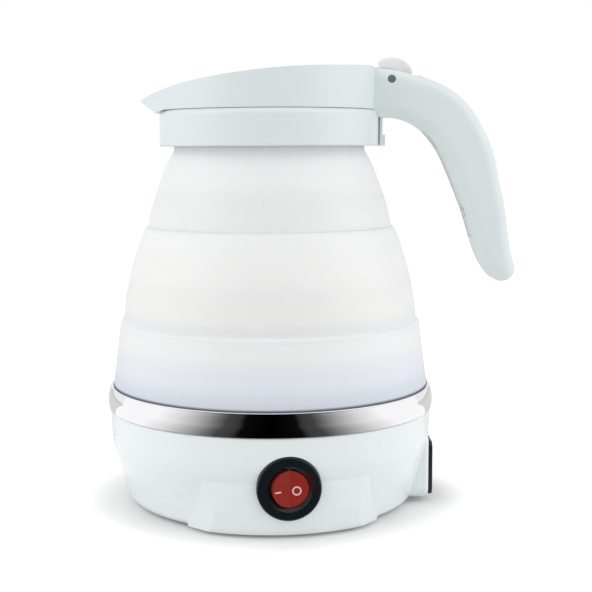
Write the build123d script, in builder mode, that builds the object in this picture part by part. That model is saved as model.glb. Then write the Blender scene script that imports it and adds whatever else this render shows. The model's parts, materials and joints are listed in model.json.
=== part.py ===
from build123d import *
import math
import os

# A collapsible travel kettle. The axis of its body is Z and the table is Z = 0. The handle
# points to +X, the spout to -X, and the switch faces -Y. All lengths are millimetres.

# Clearances
seat_gap = 0.1          # between pieces of one body that seat in each other
pin_gap = 0.05          # radial running clearance round a pin
overrun = 6.0           # how far a cut reaches past the surface that it opens

# Base shell
base_bottom = 1.2
base_opening_step = 4.6
base_flare_step = 7.3
base_corner_radius = 4.0
base_shoulder_step = 0.5
base_shoulder_drop = 12.6
base_shoulder_bend = 25.0
base_rim_radius = 62.9
base_rim_height = 37.2
base_rim_round = 0.6
base_wall = 2.2

# Carrier inside the base: deck, web, clamping flange and spigot
deck_thickness = 2.0
deck_drop = 4.2
deck_opening_step = 5.0
deck_rib_height = 6.1
deck_rib_step = 5.4
deck_rib_wall = 2.0
carrier_gap = 0.4
carrier_web = 1.9
carrier_flange_thickness = 1.0
carrier_flange_step = 1.9
spigot_step = 0.9
spigot_wall = 1.6
spigot_rise = 7.6

# Switch pad and inlet boss on the base shell
switch_azimuth = -84.0
switch_height = 19.0
switch_seat_step = 0.5
pad_step = 0.8
pad_bottom = 3.0
pad_top = 27.0
pad_low_half_width = 19.0
pad_high_half_width = 25.0
pad_round = 2.5
pad_draft_share = 0.8
pad_rise = 2.6
pad_root_step = 17.2
inlet_face_step = 1.9
boss_half_width = 17.6
boss_bottom = 2.0
boss_top = 27.5
boss_corner = 4.4
boss_round = 1.6
boss_depth = 18.0

# Screws, posts and studs in the base
post_circle_step = 4.0
post_radius = 3.6
post_pilot_radius = 1.2
post_count = 3
post_start_angle = 60.0
stud_circle_step = 4.0
stud_radius = 2.0
stud_length = 12.9
stud_hole_gap = 0.4
stud_count = 3
nut_across = 7.0
nut_height = 3.0
screw_shank_radius = 1.4
screw_head_radius = 2.8
screw_head_height = 1.6
screw_length = 12.0
screw_slot_width = 0.8
screw_slot_depth = 0.7
screw_slot_length = 3.4

# Base plate and foot
plate_thickness = 2.0
foot_width = 4.0
foot_step = 9.0
foot_groove_depth = 1.0
foot_round = 0.5
plate_rib_count = 6
plate_rib_width = 1.6
plate_rib_height = 2.5
plate_hub_radius = 9.0
plate_rim_step = 2.0

# Steel trim ring
trim_gap = 0.2
trim_foot_step = 0.5
trim_belly_step = 0.8
trim_belly_rise = 2.6
trim_lip_step = 0.3
trim_height = 8.6
trim_lip_overhang = 0.35
trim_lip_height = 0.7
trim_wall_gap = 0.15

# Heating pan and what hangs under it
pan_step = 3.6
pan_wall = 0.8
pan_floor_rise = 5.1
pan_corner_radius = 2.4
pan_dish = 1.2
seal_width = 3.6
seal_round = 0.5
spreader_step = 13.0
spreader_thickness = 2.0
element_radius = 27.5
element_tube_radius = 3.3
element_sweep = 296.0
element_start = -58.0
element_leg = 9.0
cold_pin_radius = 1.2
cold_pin_length = 7.0
thermostat_radius = 7.5
thermostat_height = 5.5
thermostat_flange_radius = 10.5
thermostat_flange_thickness = 1.0
thermostat_blade_width = 6.3
thermostat_blade_thickness = 0.8
thermostat_blade_length = 8.0
thermostat_blade_offset = 4.0
fuse_radius = 2.2
fuse_length = 12.0
fuse_lead_radius = 0.5
fuse_lead_length = 6.0
fuse_offset = 15.5

# Silicone body: two arcs, split into stiff bands and thin folds
band_wall = 2.3
fold_wall = 1.1
fold_seam = 0.1
silicone_gap = 0.2
lower_seal_width = 1.0
lower_seal_gap = 0.4
lower_seal_height = 3.6
lower_root_step = 0.6
lower_root_rise = 0.5
lower_lip_step = 2.9
lower_lip_rise = 22.5
lower_top_rise = 2.4
lower_lip_round = 1.1
belly_low_step = 1.4
belly_mid_step = 2.5
belly_mid_rise = 16.6
belly_high_step = 1.0
belly_rise = 35.5
middle_height = 17.9
step_height = 0.5
shoulder_low_step = 10.5
shoulder_mid_step = 7.1
shoulder_mid_rise = 31.3
shoulder_rise = 29.4
neck_bottom_rise = 15.3
neck_outer_radius = 36.8
neck_wall = 2.2
bead_width = 2.5
bead_rise = 3.9
bead_height = 2.9
band_edge_round = 0.5

# Collar and neck ring
collar_wall = 2.6
collar_rise = 1.5
collar_height = 13.7
collar_top_round = 2.5
collar_low_round = 0.7
collar_mouth_gap = 0.5
collar_shelf_thickness = 3.0
collar_bore_gap = 0.3
neck_ring_gap = 0.4
neck_ring_wall = 1.8
neck_ring_drop = 0.3
neck_ring_flange_thickness = 1.2

# Top frame: ring, spout, handle root and handle
frame_step = 1.2
spout_overhang = 8.4
spout_tip_radius = 3.0
spout_tip_rise = 5.0
spout_tip_thickness = 0.7
spout_root_overhang = 2.3
spout_root_drop = 0.9
arch_height = 11.8
arch_x_shares = (0.0, 0.128, 0.312, 0.511, 0.68, 0.85, 0.963)
arch_z_shares = (0.0, 0.331, 0.585, 0.775, 0.877, 0.941, 1.0)
frame_wall = 2.2
frame_floor = 1.8
mouth_step = 6.6
frame_spigot_wall = 2.8
handle_width = 21.0
handle_crown_rise = 1.4
handle_reach = 53.3
handle_drop = 84.2
handle_outer_shares = (
    (0.105, 0.023), (0.321, 0.058), (0.516, 0.113), (0.653, 0.185), (0.765, 0.295),
    (0.835, 0.395), (0.887, 0.532), (0.927, 0.645), (0.958, 0.781), (0.984, 0.865),
    (1.0056, 0.912),
)
handle_inner_shares = (
    (0.060, 0.241), (0.221, 0.255), (0.353, 0.308), (0.417, 0.356), (0.480, 0.420),
    (0.529, 0.489), (0.580, 0.568), (0.640, 0.665), (0.700, 0.786), (0.741, 0.862),
    (0.831, 0.9596),
)
handle_tip_shares = (0.9137, 0.9893)
handle_round = 4.6
handle_root_step = 5.0
channel_width = 9.8
channel_first_station = 2
channel_last_station = 8
channel_depth_share = 0.76
liner_width = 9.6
liner_depth_share = 0.13
liner_gap_share = 0.01
handle_screw_stations = (3, 7)
handle_boss_radius = 3.0
handle_screw_length = 8.0
strap_width = 10.0
strap_thickness = 1.1
nub_thickness = 2.1
nub_height = 4.2

# Hinge of the lid and the lever
hinge_overhang = 5.3
hinge_drop = 4.6
pin_radius = 1.5
pin_inset = 0.1
pin_round = 0.4
pocket_half_width = 8.2
pocket_front_reach = 13.3
pocket_rear_reach = 10.7
pocket_floor_drop = 4.7
knuckle_radius = 3.9
arm_width = 2.8
arm_centre = 6.0
arm_reach = 12.1
lever_width = 8.0
lever_hub_radius = 3.7
lever_front = 4.2
lever_rear = 8.2
lever_front_rise = 7.2
lever_crown_rise = 8.6
lever_rear_rise = 4.6
lever_under_rise = 1.2
lever_round = 0.8
lever_slot_width = 4.4

# Lid and its liner
lid_thickness = 2.6
lid_side_gap = 0.4
lid_front_step = 2.4
lid_rear_shift = 2.6
lid_rear_step = 1.6
lid_edge_round = 0.6
liner_step = 1.8
liner_wall = 1.6
liner_rise = 0.5
liner_seal_step = 0.35
liner_seal_height = 1.1
liner_seal_inset = 1.0
liner_seat_gap = 0.3
pour_slot_width = 2.0
pour_slot_pitch = 3.8
pour_slot_count = 9
pour_slot_length = 8.0
pour_slot_reach = 24.6
pour_gate_width = 26.0
pour_gate_height = 5.0
lid_post_radius = 2.6
lid_screw_reach = 17.0
lid_screw_length = 8.0

# Switch
bezel_radius = 11.5
bezel_thickness = 2.2
bezel_round = 0.9
bezel_flare_radius = 8.2
bezel_flare_depth = 1.0
switch_body_radius = 9.9
switch_body_depth = 7.0
switch_hole_gap = 0.1
switch_block_width = 14.0
switch_block_height = 12.0
switch_block_depth = 8.0
rocker_radius = 6.5
rocker_hole_gap = 0.35
rocker_pivot_drop = 1.8
rocker_depth = 4.6
rocker_centre_rise = 1.2
rocker_rise_angle = 10.0
rocker_rest_tilt = 10.0
trunnion_radius = 0.8
trunnion_length = 1.0
switch_well_depth = 6.2
blade_width = 4.8
blade_thickness = 0.8
blade_length = 7.5
blade_pitch = 4.6
blade_count = 3

# Mains inlet
inlet_width = 30.0
inlet_height = 21.2
inlet_bottom = 2.8
inlet_flange = 1.8
inlet_flange_corner = 3.2
inlet_body_width = 27.2
inlet_body_height = 18.2
inlet_body_depth = 18.0
inlet_well_width = 24.4
inlet_well_height = 16.2
inlet_well_depth = 16.5
inlet_well_chamfer = 4.0
inlet_pin_width = 2.0
inlet_pin_height = 4.0
inlet_pin_length = 13.5
inlet_pin_pitch = 7.0
inlet_pin_shift = 2.0
inlet_tab_length = 8.0
inlet_tab_thickness = 0.8

# Heights and radii that follow from the sizes above
base_flare_radius = base_rim_radius - base_flare_step
base_opening_radius = base_flare_radius - base_opening_step
base_shoulder_radius = base_rim_radius - base_shoulder_step
base_shoulder_height = base_rim_height - base_shoulder_drop
spigot_radius = base_rim_radius - spigot_step
spigot_height = base_rim_height + spigot_rise
carrier_radius = base_rim_radius - base_wall - carrier_gap
deck_height = base_rim_height - deck_drop
pan_outer_radius = spigot_radius - pan_step
pan_skirt_bottom = base_rim_height + carrier_flange_thickness + seat_gap * 2
pan_floor_height = pan_skirt_bottom + pan_floor_rise
carrier_flange_radius = pan_outer_radius - carrier_flange_step
deck_rib_radius = pan_outer_radius - deck_rib_step
stud_circle_radius = deck_rib_radius - stud_circle_step
deck_opening_radius = stud_circle_radius - deck_opening_step
seal_inner_radius = deck_rib_radius - seal_width / 2
seal_outer_radius = deck_rib_radius + seal_width / 2
spreader_radius = stud_circle_radius - spreader_step
post_circle_radius = base_opening_radius - post_circle_step
foot_outer_radius = base_opening_radius - foot_step
foot_inner_radius = foot_outer_radius - foot_width
plate_rim_radius = foot_inner_radius - plate_rim_step
pad_radius = spigot_radius - pad_step
pad_root_depth = pad_radius - pad_root_step
switch_seat = pad_radius - switch_seat_step
inlet_face = base_rim_radius - inlet_face_step
trim_bottom = base_rim_height + trim_gap
trim_top = trim_bottom + trim_height
trim_foot_radius = base_rim_radius + trim_foot_step
trim_belly_radius = base_rim_radius + trim_belly_step
trim_belly_height = trim_bottom + trim_belly_rise
trim_lip_radius = spigot_radius + trim_lip_step
trim_lip_inner_radius = spigot_radius - trim_lip_overhang
trim_wall_radius = spigot_radius + trim_wall_gap
lower_foot_inner_radius = pan_outer_radius + silicone_gap
lower_foot_outer_radius = spigot_radius - spigot_wall - silicone_gap
lower_foot_bottom = pan_skirt_bottom
lower_seal_radius = pan_outer_radius - lower_seal_width
lower_seal_bottom = pan_floor_height + lower_seal_gap
lower_seal_top = lower_seal_bottom + lower_seal_height
lower_root_radius = spigot_radius - lower_root_step
lower_root_height = trim_top + lower_root_rise
lower_lip_radius = lower_root_radius - lower_lip_step
lower_lip_height = lower_root_height + lower_lip_rise
lower_top = lower_lip_height + lower_top_rise
belly_low_radius = lower_lip_radius - belly_low_step
belly_mid_radius = belly_low_radius - belly_mid_step
shoulder_low_radius = neck_outer_radius + shoulder_low_step
belly_high_radius = shoulder_low_radius + belly_high_step
shoulder_mid_radius = neck_outer_radius + shoulder_mid_step
shoulder_high_radius = neck_outer_radius
belly_mid_height = lower_top + belly_mid_rise
belly_top = lower_top + belly_rise
middle_bottom = belly_top - middle_height
shoulder_mid_height = middle_bottom + shoulder_mid_rise
shoulder_top = belly_top + shoulder_rise
neck_bottom = belly_top + neck_bottom_rise
collar_bottom = shoulder_top + collar_rise
collar_top = collar_bottom + collar_height
bead_radius = neck_outer_radius + bead_width
bead_bottom = collar_bottom + bead_rise
collar_mouth_radius = neck_outer_radius + collar_mouth_gap
collar_bore_radius = bead_radius + collar_bore_gap
collar_radius = collar_bore_radius + collar_wall
neck_ring_bottom = collar_bottom - neck_ring_drop
neck_inner_radius = neck_outer_radius - neck_wall
neck_ring_inner_radius = neck_inner_radius - neck_ring_gap - neck_ring_wall
neck_ring_flange_radius = bead_radius - seat_gap
frame_radius = collar_radius - frame_step
spout_reach = frame_radius + spout_overhang
spout_root_reach = frame_radius + spout_root_overhang
arch_length = spout_reach + frame_radius
mouth_radius = frame_radius - mouth_step
handle_root_x = frame_radius - handle_root_step
spout_root_height = collar_top - spout_root_drop
spout_tip_height = spout_root_height + spout_tip_rise
arch_top = spout_tip_height + arch_height
handle_crown = arch_top + handle_crown_rise
hinge_x = frame_radius + hinge_overhang
hinge_z = arch_top - hinge_drop
pocket_start = hinge_x - pocket_front_reach
pocket_end = hinge_x + pocket_rear_reach
arm_start = hinge_x - arm_reach
lid_front = frame_radius - lid_front_step
lid_rear_radius = frame_radius - lid_rear_step
liner_radius = mouth_radius - liner_step
liner_bottom = collar_top + liner_rise
liner_seal_radius = mouth_radius - liner_seal_step
frame_floor_top = collar_top + frame_floor
pan_bottom = pan_floor_height - pan_wall
deck_top = deck_height + deck_thickness
plate_top = base_bottom + plate_thickness
inlet_centre = inlet_bottom + inlet_height / 2
element_height = pan_bottom - seat_gap - spreader_thickness - element_tube_radius
hinge = (hinge_x, 0.0, hinge_z)


def save(builder, node):
    """Label a finished piece and write it as its own STEP file."""
    builder.part.label = node
    export_step(builder.part, f"parts/{node}.step")


def arch_points():
    """Points along the top line of the frame and lid, from the spout's tip rearwards."""
    return [
        (-spout_reach + share_x * arch_length, spout_tip_height + share_z * arch_height)
        for share_x, share_z in zip(arch_x_shares, arch_z_shares)
    ]


def handle_point(shares):
    """A point of the handle's outline, from its shares of the handle's reach and drop."""
    return (frame_radius + shares[0] * handle_reach, handle_crown - shares[1] * handle_drop)


def handle_between(station, depth_share):
    """A point at a station of the handle, a share of the way from its inner to its outer line."""
    inner = Vector(*handle_point(handle_inner_shares[station]))
    outer = Vector(*handle_point(handle_outer_shares[station]))
    return inner + (outer - inner) * depth_share


def switch_plane(depth):
    """The plane square to the switch's axis, a distance out from the kettle's axis."""
    angle = math.radians(switch_azimuth)
    out = Vector(math.cos(angle), math.sin(angle), 0)
    centre = out * depth + Vector(0, 0, switch_height)
    return Plane(origin=centre, x_dir=(-out.Y, out.X, 0), z_dir=out)


def draw_teardrop(inset):
    """Draw the plan outline of the frame, a circle drawn out to the spout's tip, set in by a wall."""
    large, small = frame_radius - inset, spout_tip_radius - inset
    tip_centre = spout_reach - spout_tip_radius
    share = (frame_radius - spout_tip_radius) / tip_centre
    side = math.sqrt(1 - share**2)
    for sign in (1, -1):
        Line((-large * share, sign * large * side), (-tip_centre - small * share, sign * small * side))
    ThreePointArc((-large * share, large * side), (large, 0), (-large * share, -large * side))
    ThreePointArc(
        (-tip_centre - small * share, small * side),
        (-tip_centre - small, 0),
        (-tip_centre - small * share, -small * side),
    )


def draw_under_arch(drop, low, end_x):
    """Draw the region of the XZ plane under the top line, lowered by a drop, down to a height."""
    points = [(x, z - drop) for x, z in arch_points()]
    top = Spline(*points)
    Polyline(top @ 1, (end_x, (top @ 1).Y), (end_x, low), (-spout_reach, low), top @ 0)


def arch_block(drop, low, end_x):
    """A solid that fills the space under the top line, as wide as the frame."""
    with BuildPart() as block:
        with BuildSketch(Plane.XZ):
            with BuildLine():
                draw_under_arch(drop, low, end_x)
            make_face()
        extrude(amount=frame_radius + overrun, both=True)
    return block.part


def wall_of_arc(arc_points, wall, low, high):
    """A turned wall that follows an arc of radii and heights, kept between two heights."""
    with BuildPart() as shell:
        with BuildSketch(Plane.XZ):
            with BuildLine():
                outer = ThreePointArc(*arc_points)
                inner = ThreePointArc(*[(radius - wall, height) for radius, height in arc_points])
                Line(outer @ 0, inner @ 0)
                Line(outer @ 1, inner @ 1)
            make_face()
        revolve(axis=Axis.Z)
        with BuildSketch(Plane.XY.offset(low)):
            Circle(trim_belly_radius)
        extrude(amount=high - low, mode=Mode.INTERSECT)
    return shell.part


def belly_arc():
    """Radii and heights of the arc through the lower fold and the middle band."""
    return [
        (belly_low_radius, lower_top),
        (belly_mid_radius, belly_mid_height),
        (belly_high_radius, belly_top),
    ]


def shoulder_arc():
    """Radii and heights of the arc through the upper fold and the neck band."""
    return [
        (shoulder_low_radius, belly_top + step_height),
        (shoulder_mid_radius, shoulder_mid_height),
        (shoulder_high_radius, shoulder_top),
    ]


def base_side(inset):
    """Draw the base shell's side from its opening to its rim, set in by a wall."""
    return FilletPolyline(
        (base_opening_radius, base_bottom + inset),
        (base_flare_radius - inset, base_bottom + inset),
        (base_shoulder_radius - inset, base_shoulder_height),
        (base_rim_radius - inset, base_rim_height),
        radius=(base_corner_radius - inset, base_shoulder_bend),
    )


def draw_pad(depth, inset):
    """Draw the pad's outline on the switch's plane at a depth, wider the deeper it lies."""
    grow = (pad_radius - depth) * pad_draft_share - inset
    low, high = pad_bottom - switch_height - grow, pad_top - switch_height
    Polyline(
        (-pad_low_half_width - grow, low), (pad_low_half_width + grow, low),
        (pad_high_half_width + grow, high), (-pad_high_half_width - grow, high),
        close=True,
    )


def switch_pad_block(inset):
    """The raised pad round the switch, narrower below, with its face on an upright cylinder."""
    with BuildPart() as pad:
        with BuildSketch(Plane.XY.offset(base_bottom - overrun)):
            Circle(pad_radius - inset)
        extrude(amount=pad_top - base_bottom + overrun - inset)
        with BuildPart(mode=Mode.PRIVATE) as sides:
            for depth in (pad_root_depth, pad_radius + overrun / 2):
                with BuildSketch(switch_plane(depth)):
                    with BuildLine():
                        draw_pad(depth, inset)
                    make_face()
            loft()
        add(sides.part, mode=Mode.INTERSECT)
        if inset == 0:
            face = pad.faces().sort_by(Axis((0, 0, 0), switch_plane(0).z_dir))[-1]
            fillet(face.edges(), radius=pad_round)
        # kept within a thin layer over the turned side
        with BuildPart(mode=Mode.PRIVATE) as layer:
            with BuildSketch(Plane.XZ):
                with BuildLine():
                    side = base_side(inset - pad_rise)
                    Polyline(side @ 1, (0, base_rim_height), (0, (side @ 0).Y), side @ 0)
                make_face()
            revolve(axis=Axis.Z)
        add(layer.part, mode=Mode.INTERSECT)
        with BuildSketch(Plane.XY.offset(base_bottom + inset + seat_gap)):
            Circle(pad_radius * 2)
        extrude(amount=pad_top, mode=Mode.INTERSECT)
    return pad.part


def inlet_boss_block(inset):
    """The boss that carries the mains inlet on a flat upright face."""
    with BuildPart() as boss:
        with BuildSketch(Plane.YZ.offset(inlet_face - boss_depth)):
            with Locations((0, (boss_bottom + boss_top) / 2)):
                RectangleRounded(
                    (boss_half_width - inset) * 2, boss_top - boss_bottom - inset * 2,
                    boss_corner - inset,
                )
        extrude(amount=boss_depth - inset)
        if inset == 0:
            fillet(boss.faces().sort_by(Axis.X)[-1].edges(), radius=boss_round)
    return boss.part


def make_base_shell():
    """The white base: turned side, switch pad and inlet boss."""
    pad, pad_hollow = switch_pad_block(0), switch_pad_block(base_wall)
    boss, boss_hollow = inlet_boss_block(0), inlet_boss_block(base_wall)
    with BuildPart() as base_shell:
        with BuildSketch(Plane.XZ):
            with BuildLine():
                side = base_side(0)
                Polyline(side @ 1, (0, base_rim_height), (0, base_bottom), side @ 0)
            make_face()
        revolve(axis=Axis.Z)
        fillet(base_shell.edges().group_by(Axis.Z)[-1], radius=base_rim_round)
        add(pad)
        add(boss)
        with BuildSketch(Plane.XZ):
            with BuildLine():
                side = base_side(base_wall)
                Polyline(side @ 1, (0, base_rim_height), (0, base_bottom + base_wall), side @ 0)
            make_face()
        revolve(axis=Axis.Z, mode=Mode.SUBTRACT)
        add(pad_hollow, mode=Mode.SUBTRACT)
        add(boss_hollow, mode=Mode.SUBTRACT)
        with BuildSketch(Plane.XY.offset(base_bottom - overrun)):
            Circle(base_opening_radius)
        extrude(amount=overrun + base_wall * 2, mode=Mode.SUBTRACT)
        # flat seat and hole of the switch
        with BuildSketch(switch_plane(switch_seat)):
            Circle(bezel_radius + switch_hole_gap * 2)
        extrude(amount=overrun, mode=Mode.SUBTRACT)
        with BuildSketch(switch_plane(switch_seat - base_wall * 2)):
            Circle(switch_body_radius + switch_hole_gap)
        extrude(amount=base_wall * 2 + overrun, mode=Mode.SUBTRACT)
        # seat and opening of the mains inlet
        with BuildSketch(inlet_plane(inlet_face)):
            RectangleRounded(
                inlet_width + seat_gap * 2, inlet_height + seat_gap * 2, inlet_flange_corner + seat_gap
            )
        extrude(amount=overrun, mode=Mode.SUBTRACT)
        with BuildSketch(inlet_plane(inlet_face - base_wall * 2)):
            Rectangle(inlet_body_width + seat_gap * 2, inlet_body_height + seat_gap * 2)
        extrude(amount=base_wall * 2 + overrun, mode=Mode.SUBTRACT)
    save(base_shell, "base_shell")


def make_pan_carrier():
    """The ring inside the base that carries the pan and clamps the silicone's foot."""
    with BuildPart() as pan_carrier:
        with BuildSketch(Plane.XZ):
            with BuildLine():
                flange_bottom = base_rim_height + seat_gap
                flange_top = flange_bottom + carrier_flange_thickness
                rib_outer = deck_rib_radius + deck_rib_wall / 2
                rib_inner = deck_rib_radius - deck_rib_wall / 2
                Polyline(
                    (deck_opening_radius, deck_height),
                    (carrier_radius, deck_height),
                    (carrier_radius, flange_bottom),
                    (spigot_radius, flange_bottom),
                    (spigot_radius, spigot_height),
                    (spigot_radius - spigot_wall, spigot_height),
                    (spigot_radius - spigot_wall, flange_top),
                    (carrier_flange_radius, flange_top),
                    (carrier_flange_radius, flange_bottom),
                    (carrier_radius - carrier_web, flange_bottom),
                    (carrier_radius - carrier_web, deck_top),
                    (rib_outer, deck_top),
                    (rib_outer, deck_top + deck_rib_height),
                    (rib_inner, deck_top + deck_rib_height),
                    (rib_inner, deck_top),
                    (deck_opening_radius, deck_top),
                    close=True,
                )
            make_face()
        revolve(axis=Axis.Z)
        # screw posts that hang from the deck
        with BuildSketch(Plane.XY.offset(plate_top + seat_gap)):
            with PolarLocations(post_circle_radius, post_count, start_angle=post_start_angle):
                Circle(post_radius)
        extrude(amount=deck_height - plate_top)
        with BuildSketch(Plane.XY.offset(plate_top)):
            with PolarLocations(post_circle_radius, post_count, start_angle=post_start_angle):
                Circle(post_pilot_radius)
        extrude(amount=screw_length + overrun / 2, mode=Mode.SUBTRACT)
        # holes for the pan's studs
        with BuildSketch(Plane.XY.offset(deck_height - overrun)):
            with PolarLocations(stud_circle_radius, stud_count):
                Circle(stud_radius + stud_hole_gap)
        extrude(amount=overrun + deck_thickness * 2, mode=Mode.SUBTRACT)
    save(pan_carrier, "pan_carrier")


def make_base_plate():
    """The bottom cover, with a groove for the foot, countersunk holes and stiffening ribs."""
    with BuildPart() as base_plate:
        with BuildSketch(Plane.XY.offset(base_bottom)):
            Circle(base_opening_radius - seat_gap)
        extrude(amount=plate_thickness)
        with BuildSketch(Plane.XY.offset(plate_top)):
            Circle(plate_rim_radius)
            Circle(plate_rim_radius - plate_rib_width, mode=Mode.SUBTRACT)
            Circle(plate_hub_radius)
            Circle(plate_hub_radius - plate_rib_width, mode=Mode.SUBTRACT)
            rib_length = plate_rim_radius - plate_hub_radius
            rib_middle = (plate_rim_radius + plate_hub_radius - plate_rib_width) / 2
            with PolarLocations(rib_middle, plate_rib_count):
                Rectangle(rib_length, plate_rib_width)
        extrude(amount=plate_rib_height)
        with BuildSketch(Plane.XY.offset(base_bottom - overrun)):
            Circle(foot_outer_radius + seat_gap)
            Circle(foot_inner_radius - seat_gap, mode=Mode.SUBTRACT)
        extrude(amount=overrun + foot_groove_depth, mode=Mode.SUBTRACT)
        with Locations(Plane.XY.offset(base_bottom) * Rot(180, 0, 0)):
            with PolarLocations(post_circle_radius, post_count, start_angle=-post_start_angle):
                CounterSinkHole(
                    screw_shank_radius + seat_gap, screw_head_radius + seat_gap, depth=plate_thickness * 2
                )
    save(base_plate, "base_plate")


def make_foot_ring():
    """The soft ring that the kettle stands on, seated in the plate's groove."""
    with BuildPart() as foot_ring:
        with BuildSketch():
            Circle(foot_outer_radius)
            Circle(foot_inner_radius, mode=Mode.SUBTRACT)
        extrude(amount=base_bottom + foot_groove_depth - seat_gap)
        fillet(foot_ring.edges().group_by(Axis.Z)[0], radius=foot_round)
    save(foot_ring, "foot_ring")


def screw_form(length):
    """A countersunk screw with a cross slot, its head's face on Z = 0 and its shank along -Z."""
    with BuildPart() as screw:
        with BuildSketch():
            Circle(screw_head_radius)
        with BuildSketch(Plane.XY.offset(-screw_head_height)):
            Circle(screw_shank_radius - seat_gap)
        loft()
        with BuildSketch(Plane.XY.offset(-screw_head_height)):
            Circle(post_pilot_radius - seat_gap)
        extrude(amount=screw_head_height - length)
        with BuildSketch(Plane.XY.offset(-screw_slot_depth)):
            Rectangle(screw_slot_length, screw_slot_width)
            Rectangle(screw_slot_width, screw_slot_length)
        extrude(amount=screw_slot_depth + overrun, mode=Mode.SUBTRACT)
    return screw.part


def screw_room(length):
    """The space that a screw needs, open past its head."""
    with BuildPart() as room:
        with BuildSketch():
            Circle(screw_head_radius + seat_gap)
        extrude(amount=overrun)
        with BuildSketch():
            Circle(screw_head_radius + seat_gap)
        with BuildSketch(Plane.XY.offset(-screw_head_height)):
            Circle(screw_shank_radius)
        loft()
        with BuildSketch(Plane.XY.offset(-screw_head_height)):
            Circle(screw_shank_radius)
        extrude(amount=screw_head_height - length)
    return room.part


def make_base_screws():
    """Three screws that hold the base plate to the shell's posts."""
    form = screw_form(screw_length)
    with BuildPart() as base_screws:
        with Locations(Plane.XY.offset(base_bottom) * Rot(180, 0, 0)):
            with PolarLocations(post_circle_radius, post_count, start_angle=-post_start_angle):
                add(form)
    save(base_screws, "base_screws")


def make_trim_ring():
    """The polished steel ring between the base shell and the silicone."""
    with BuildPart() as trim_ring:
        with BuildSketch(Plane.XZ):
            with BuildLine():
                face = ThreePointArc(
                    (trim_foot_radius, trim_bottom),
                    (trim_belly_radius, trim_belly_height),
                    (trim_lip_radius, trim_top),
                )
                Polyline(
                    face @ 1,
                    (trim_lip_inner_radius, trim_top),
                    (trim_lip_inner_radius, trim_top - trim_lip_height),
                    (trim_wall_radius, trim_top - trim_lip_height),
                    (trim_wall_radius, trim_bottom),
                    face @ 0,
                )
            make_face()
        revolve(axis=Axis.Z)
        fillet(
            trim_ring.edges().filter_by(GeomType.CIRCLE).sort_by(Axis.Z)[-2:].sort_by(SortBy.RADIUS)[-1],
            radius=trim_lip_height / 3,
        )
    save(trim_ring, "trim_ring")


def make_heating_pan():
    """The drawn steel floor of the body, with a skirt turned down and welded studs."""
    with BuildPart() as heating_pan:
        with BuildSketch(Plane.XY.offset(pan_skirt_bottom)):
            Circle(pan_outer_radius)
        extrude(amount=pan_floor_height - pan_skirt_bottom)
        fillet(heating_pan.edges().group_by(Axis.Z)[-1], radius=pan_corner_radius)
        with BuildPart(mode=Mode.PRIVATE) as hollow:
            with BuildSketch(Plane.XY.offset(pan_bottom)):
                Circle(pan_outer_radius - pan_wall)
            extrude(amount=-pan_floor_height)
            fillet(hollow.edges().group_by(Axis.Z)[-1], radius=pan_corner_radius - pan_wall)
        add(hollow.part, mode=Mode.SUBTRACT)
        with BuildSketch(Plane.XY.offset(pan_floor_height)):
            Circle(spreader_radius)
            Circle(spreader_radius - pan_dish * 2, mode=Mode.SUBTRACT)
        extrude(amount=pan_dish / 3)
        with BuildSketch(Plane.XY.offset(pan_bottom - stud_length)):
            with PolarLocations(stud_circle_radius, stud_count):
                Circle(stud_radius)
        extrude(amount=stud_length)
    save(heating_pan, "heating_pan")


def make_pan_nuts():
    """The nuts that draw the pan down on the deck."""
    with BuildPart() as pan_nuts:
        with BuildSketch(Plane.XY.offset(deck_height - seat_gap - nut_height)):
            with PolarLocations(stud_circle_radius, stud_count):
                RegularPolygon(nut_across / 2, 6, major_radius=False)
                Circle(stud_radius + pin_gap, mode=Mode.SUBTRACT)
        extrude(amount=nut_height)
    save(pan_nuts, "pan_nuts")


def make_pan_seal():
    """The rubber washer between the deck's rib and the pan."""
    seal_bottom = deck_top + deck_rib_height + seat_gap
    with BuildPart() as pan_seal:
        with BuildSketch(Plane.XY.offset(seal_bottom)):
            Circle(seal_outer_radius)
            Circle(seal_inner_radius, mode=Mode.SUBTRACT)
        extrude(amount=pan_bottom - seat_gap - seal_bottom)
        fillet(pan_seal.edges(), radius=seal_round)
    save(pan_seal, "pan_seal")


def make_spreader_plate():
    """The aluminium disc that spreads the element's heat under the pan."""
    with BuildPart() as spreader_plate:
        with BuildSketch(Plane.XY.offset(pan_bottom - seat_gap - spreader_thickness)):
            Circle(spreader_radius)
        extrude(amount=spreader_thickness)
        chamfer(spreader_plate.edges(), length=spreader_thickness / 5)
    save(spreader_plate, "spreader_plate")


def make_heating_element():
    """The tubular element, an open ring whose ends turn down into cold pins."""
    with BuildPart() as heating_element:
        with BuildSketch(Plane.XZ.rotated((0, 0, element_start))):
            with Locations((element_radius, element_height)):
                Circle(element_tube_radius)
        revolve(axis=Axis.Z, revolution_arc=element_sweep)
        for angle in (element_start, element_start + element_sweep):
            end = Vector(element_radius, 0, element_height).rotate(Axis.Z, angle)
            with Locations(end):
                Sphere(element_tube_radius)
            with BuildSketch(Plane(origin=end)):
                Circle(element_tube_radius)
            extrude(amount=-element_leg)
            with BuildSketch(Plane(origin=end - Vector(0, 0, element_leg))):
                Circle(cold_pin_radius)
            extrude(amount=-cold_pin_length)
    save(heating_element, "heating_element")


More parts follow.
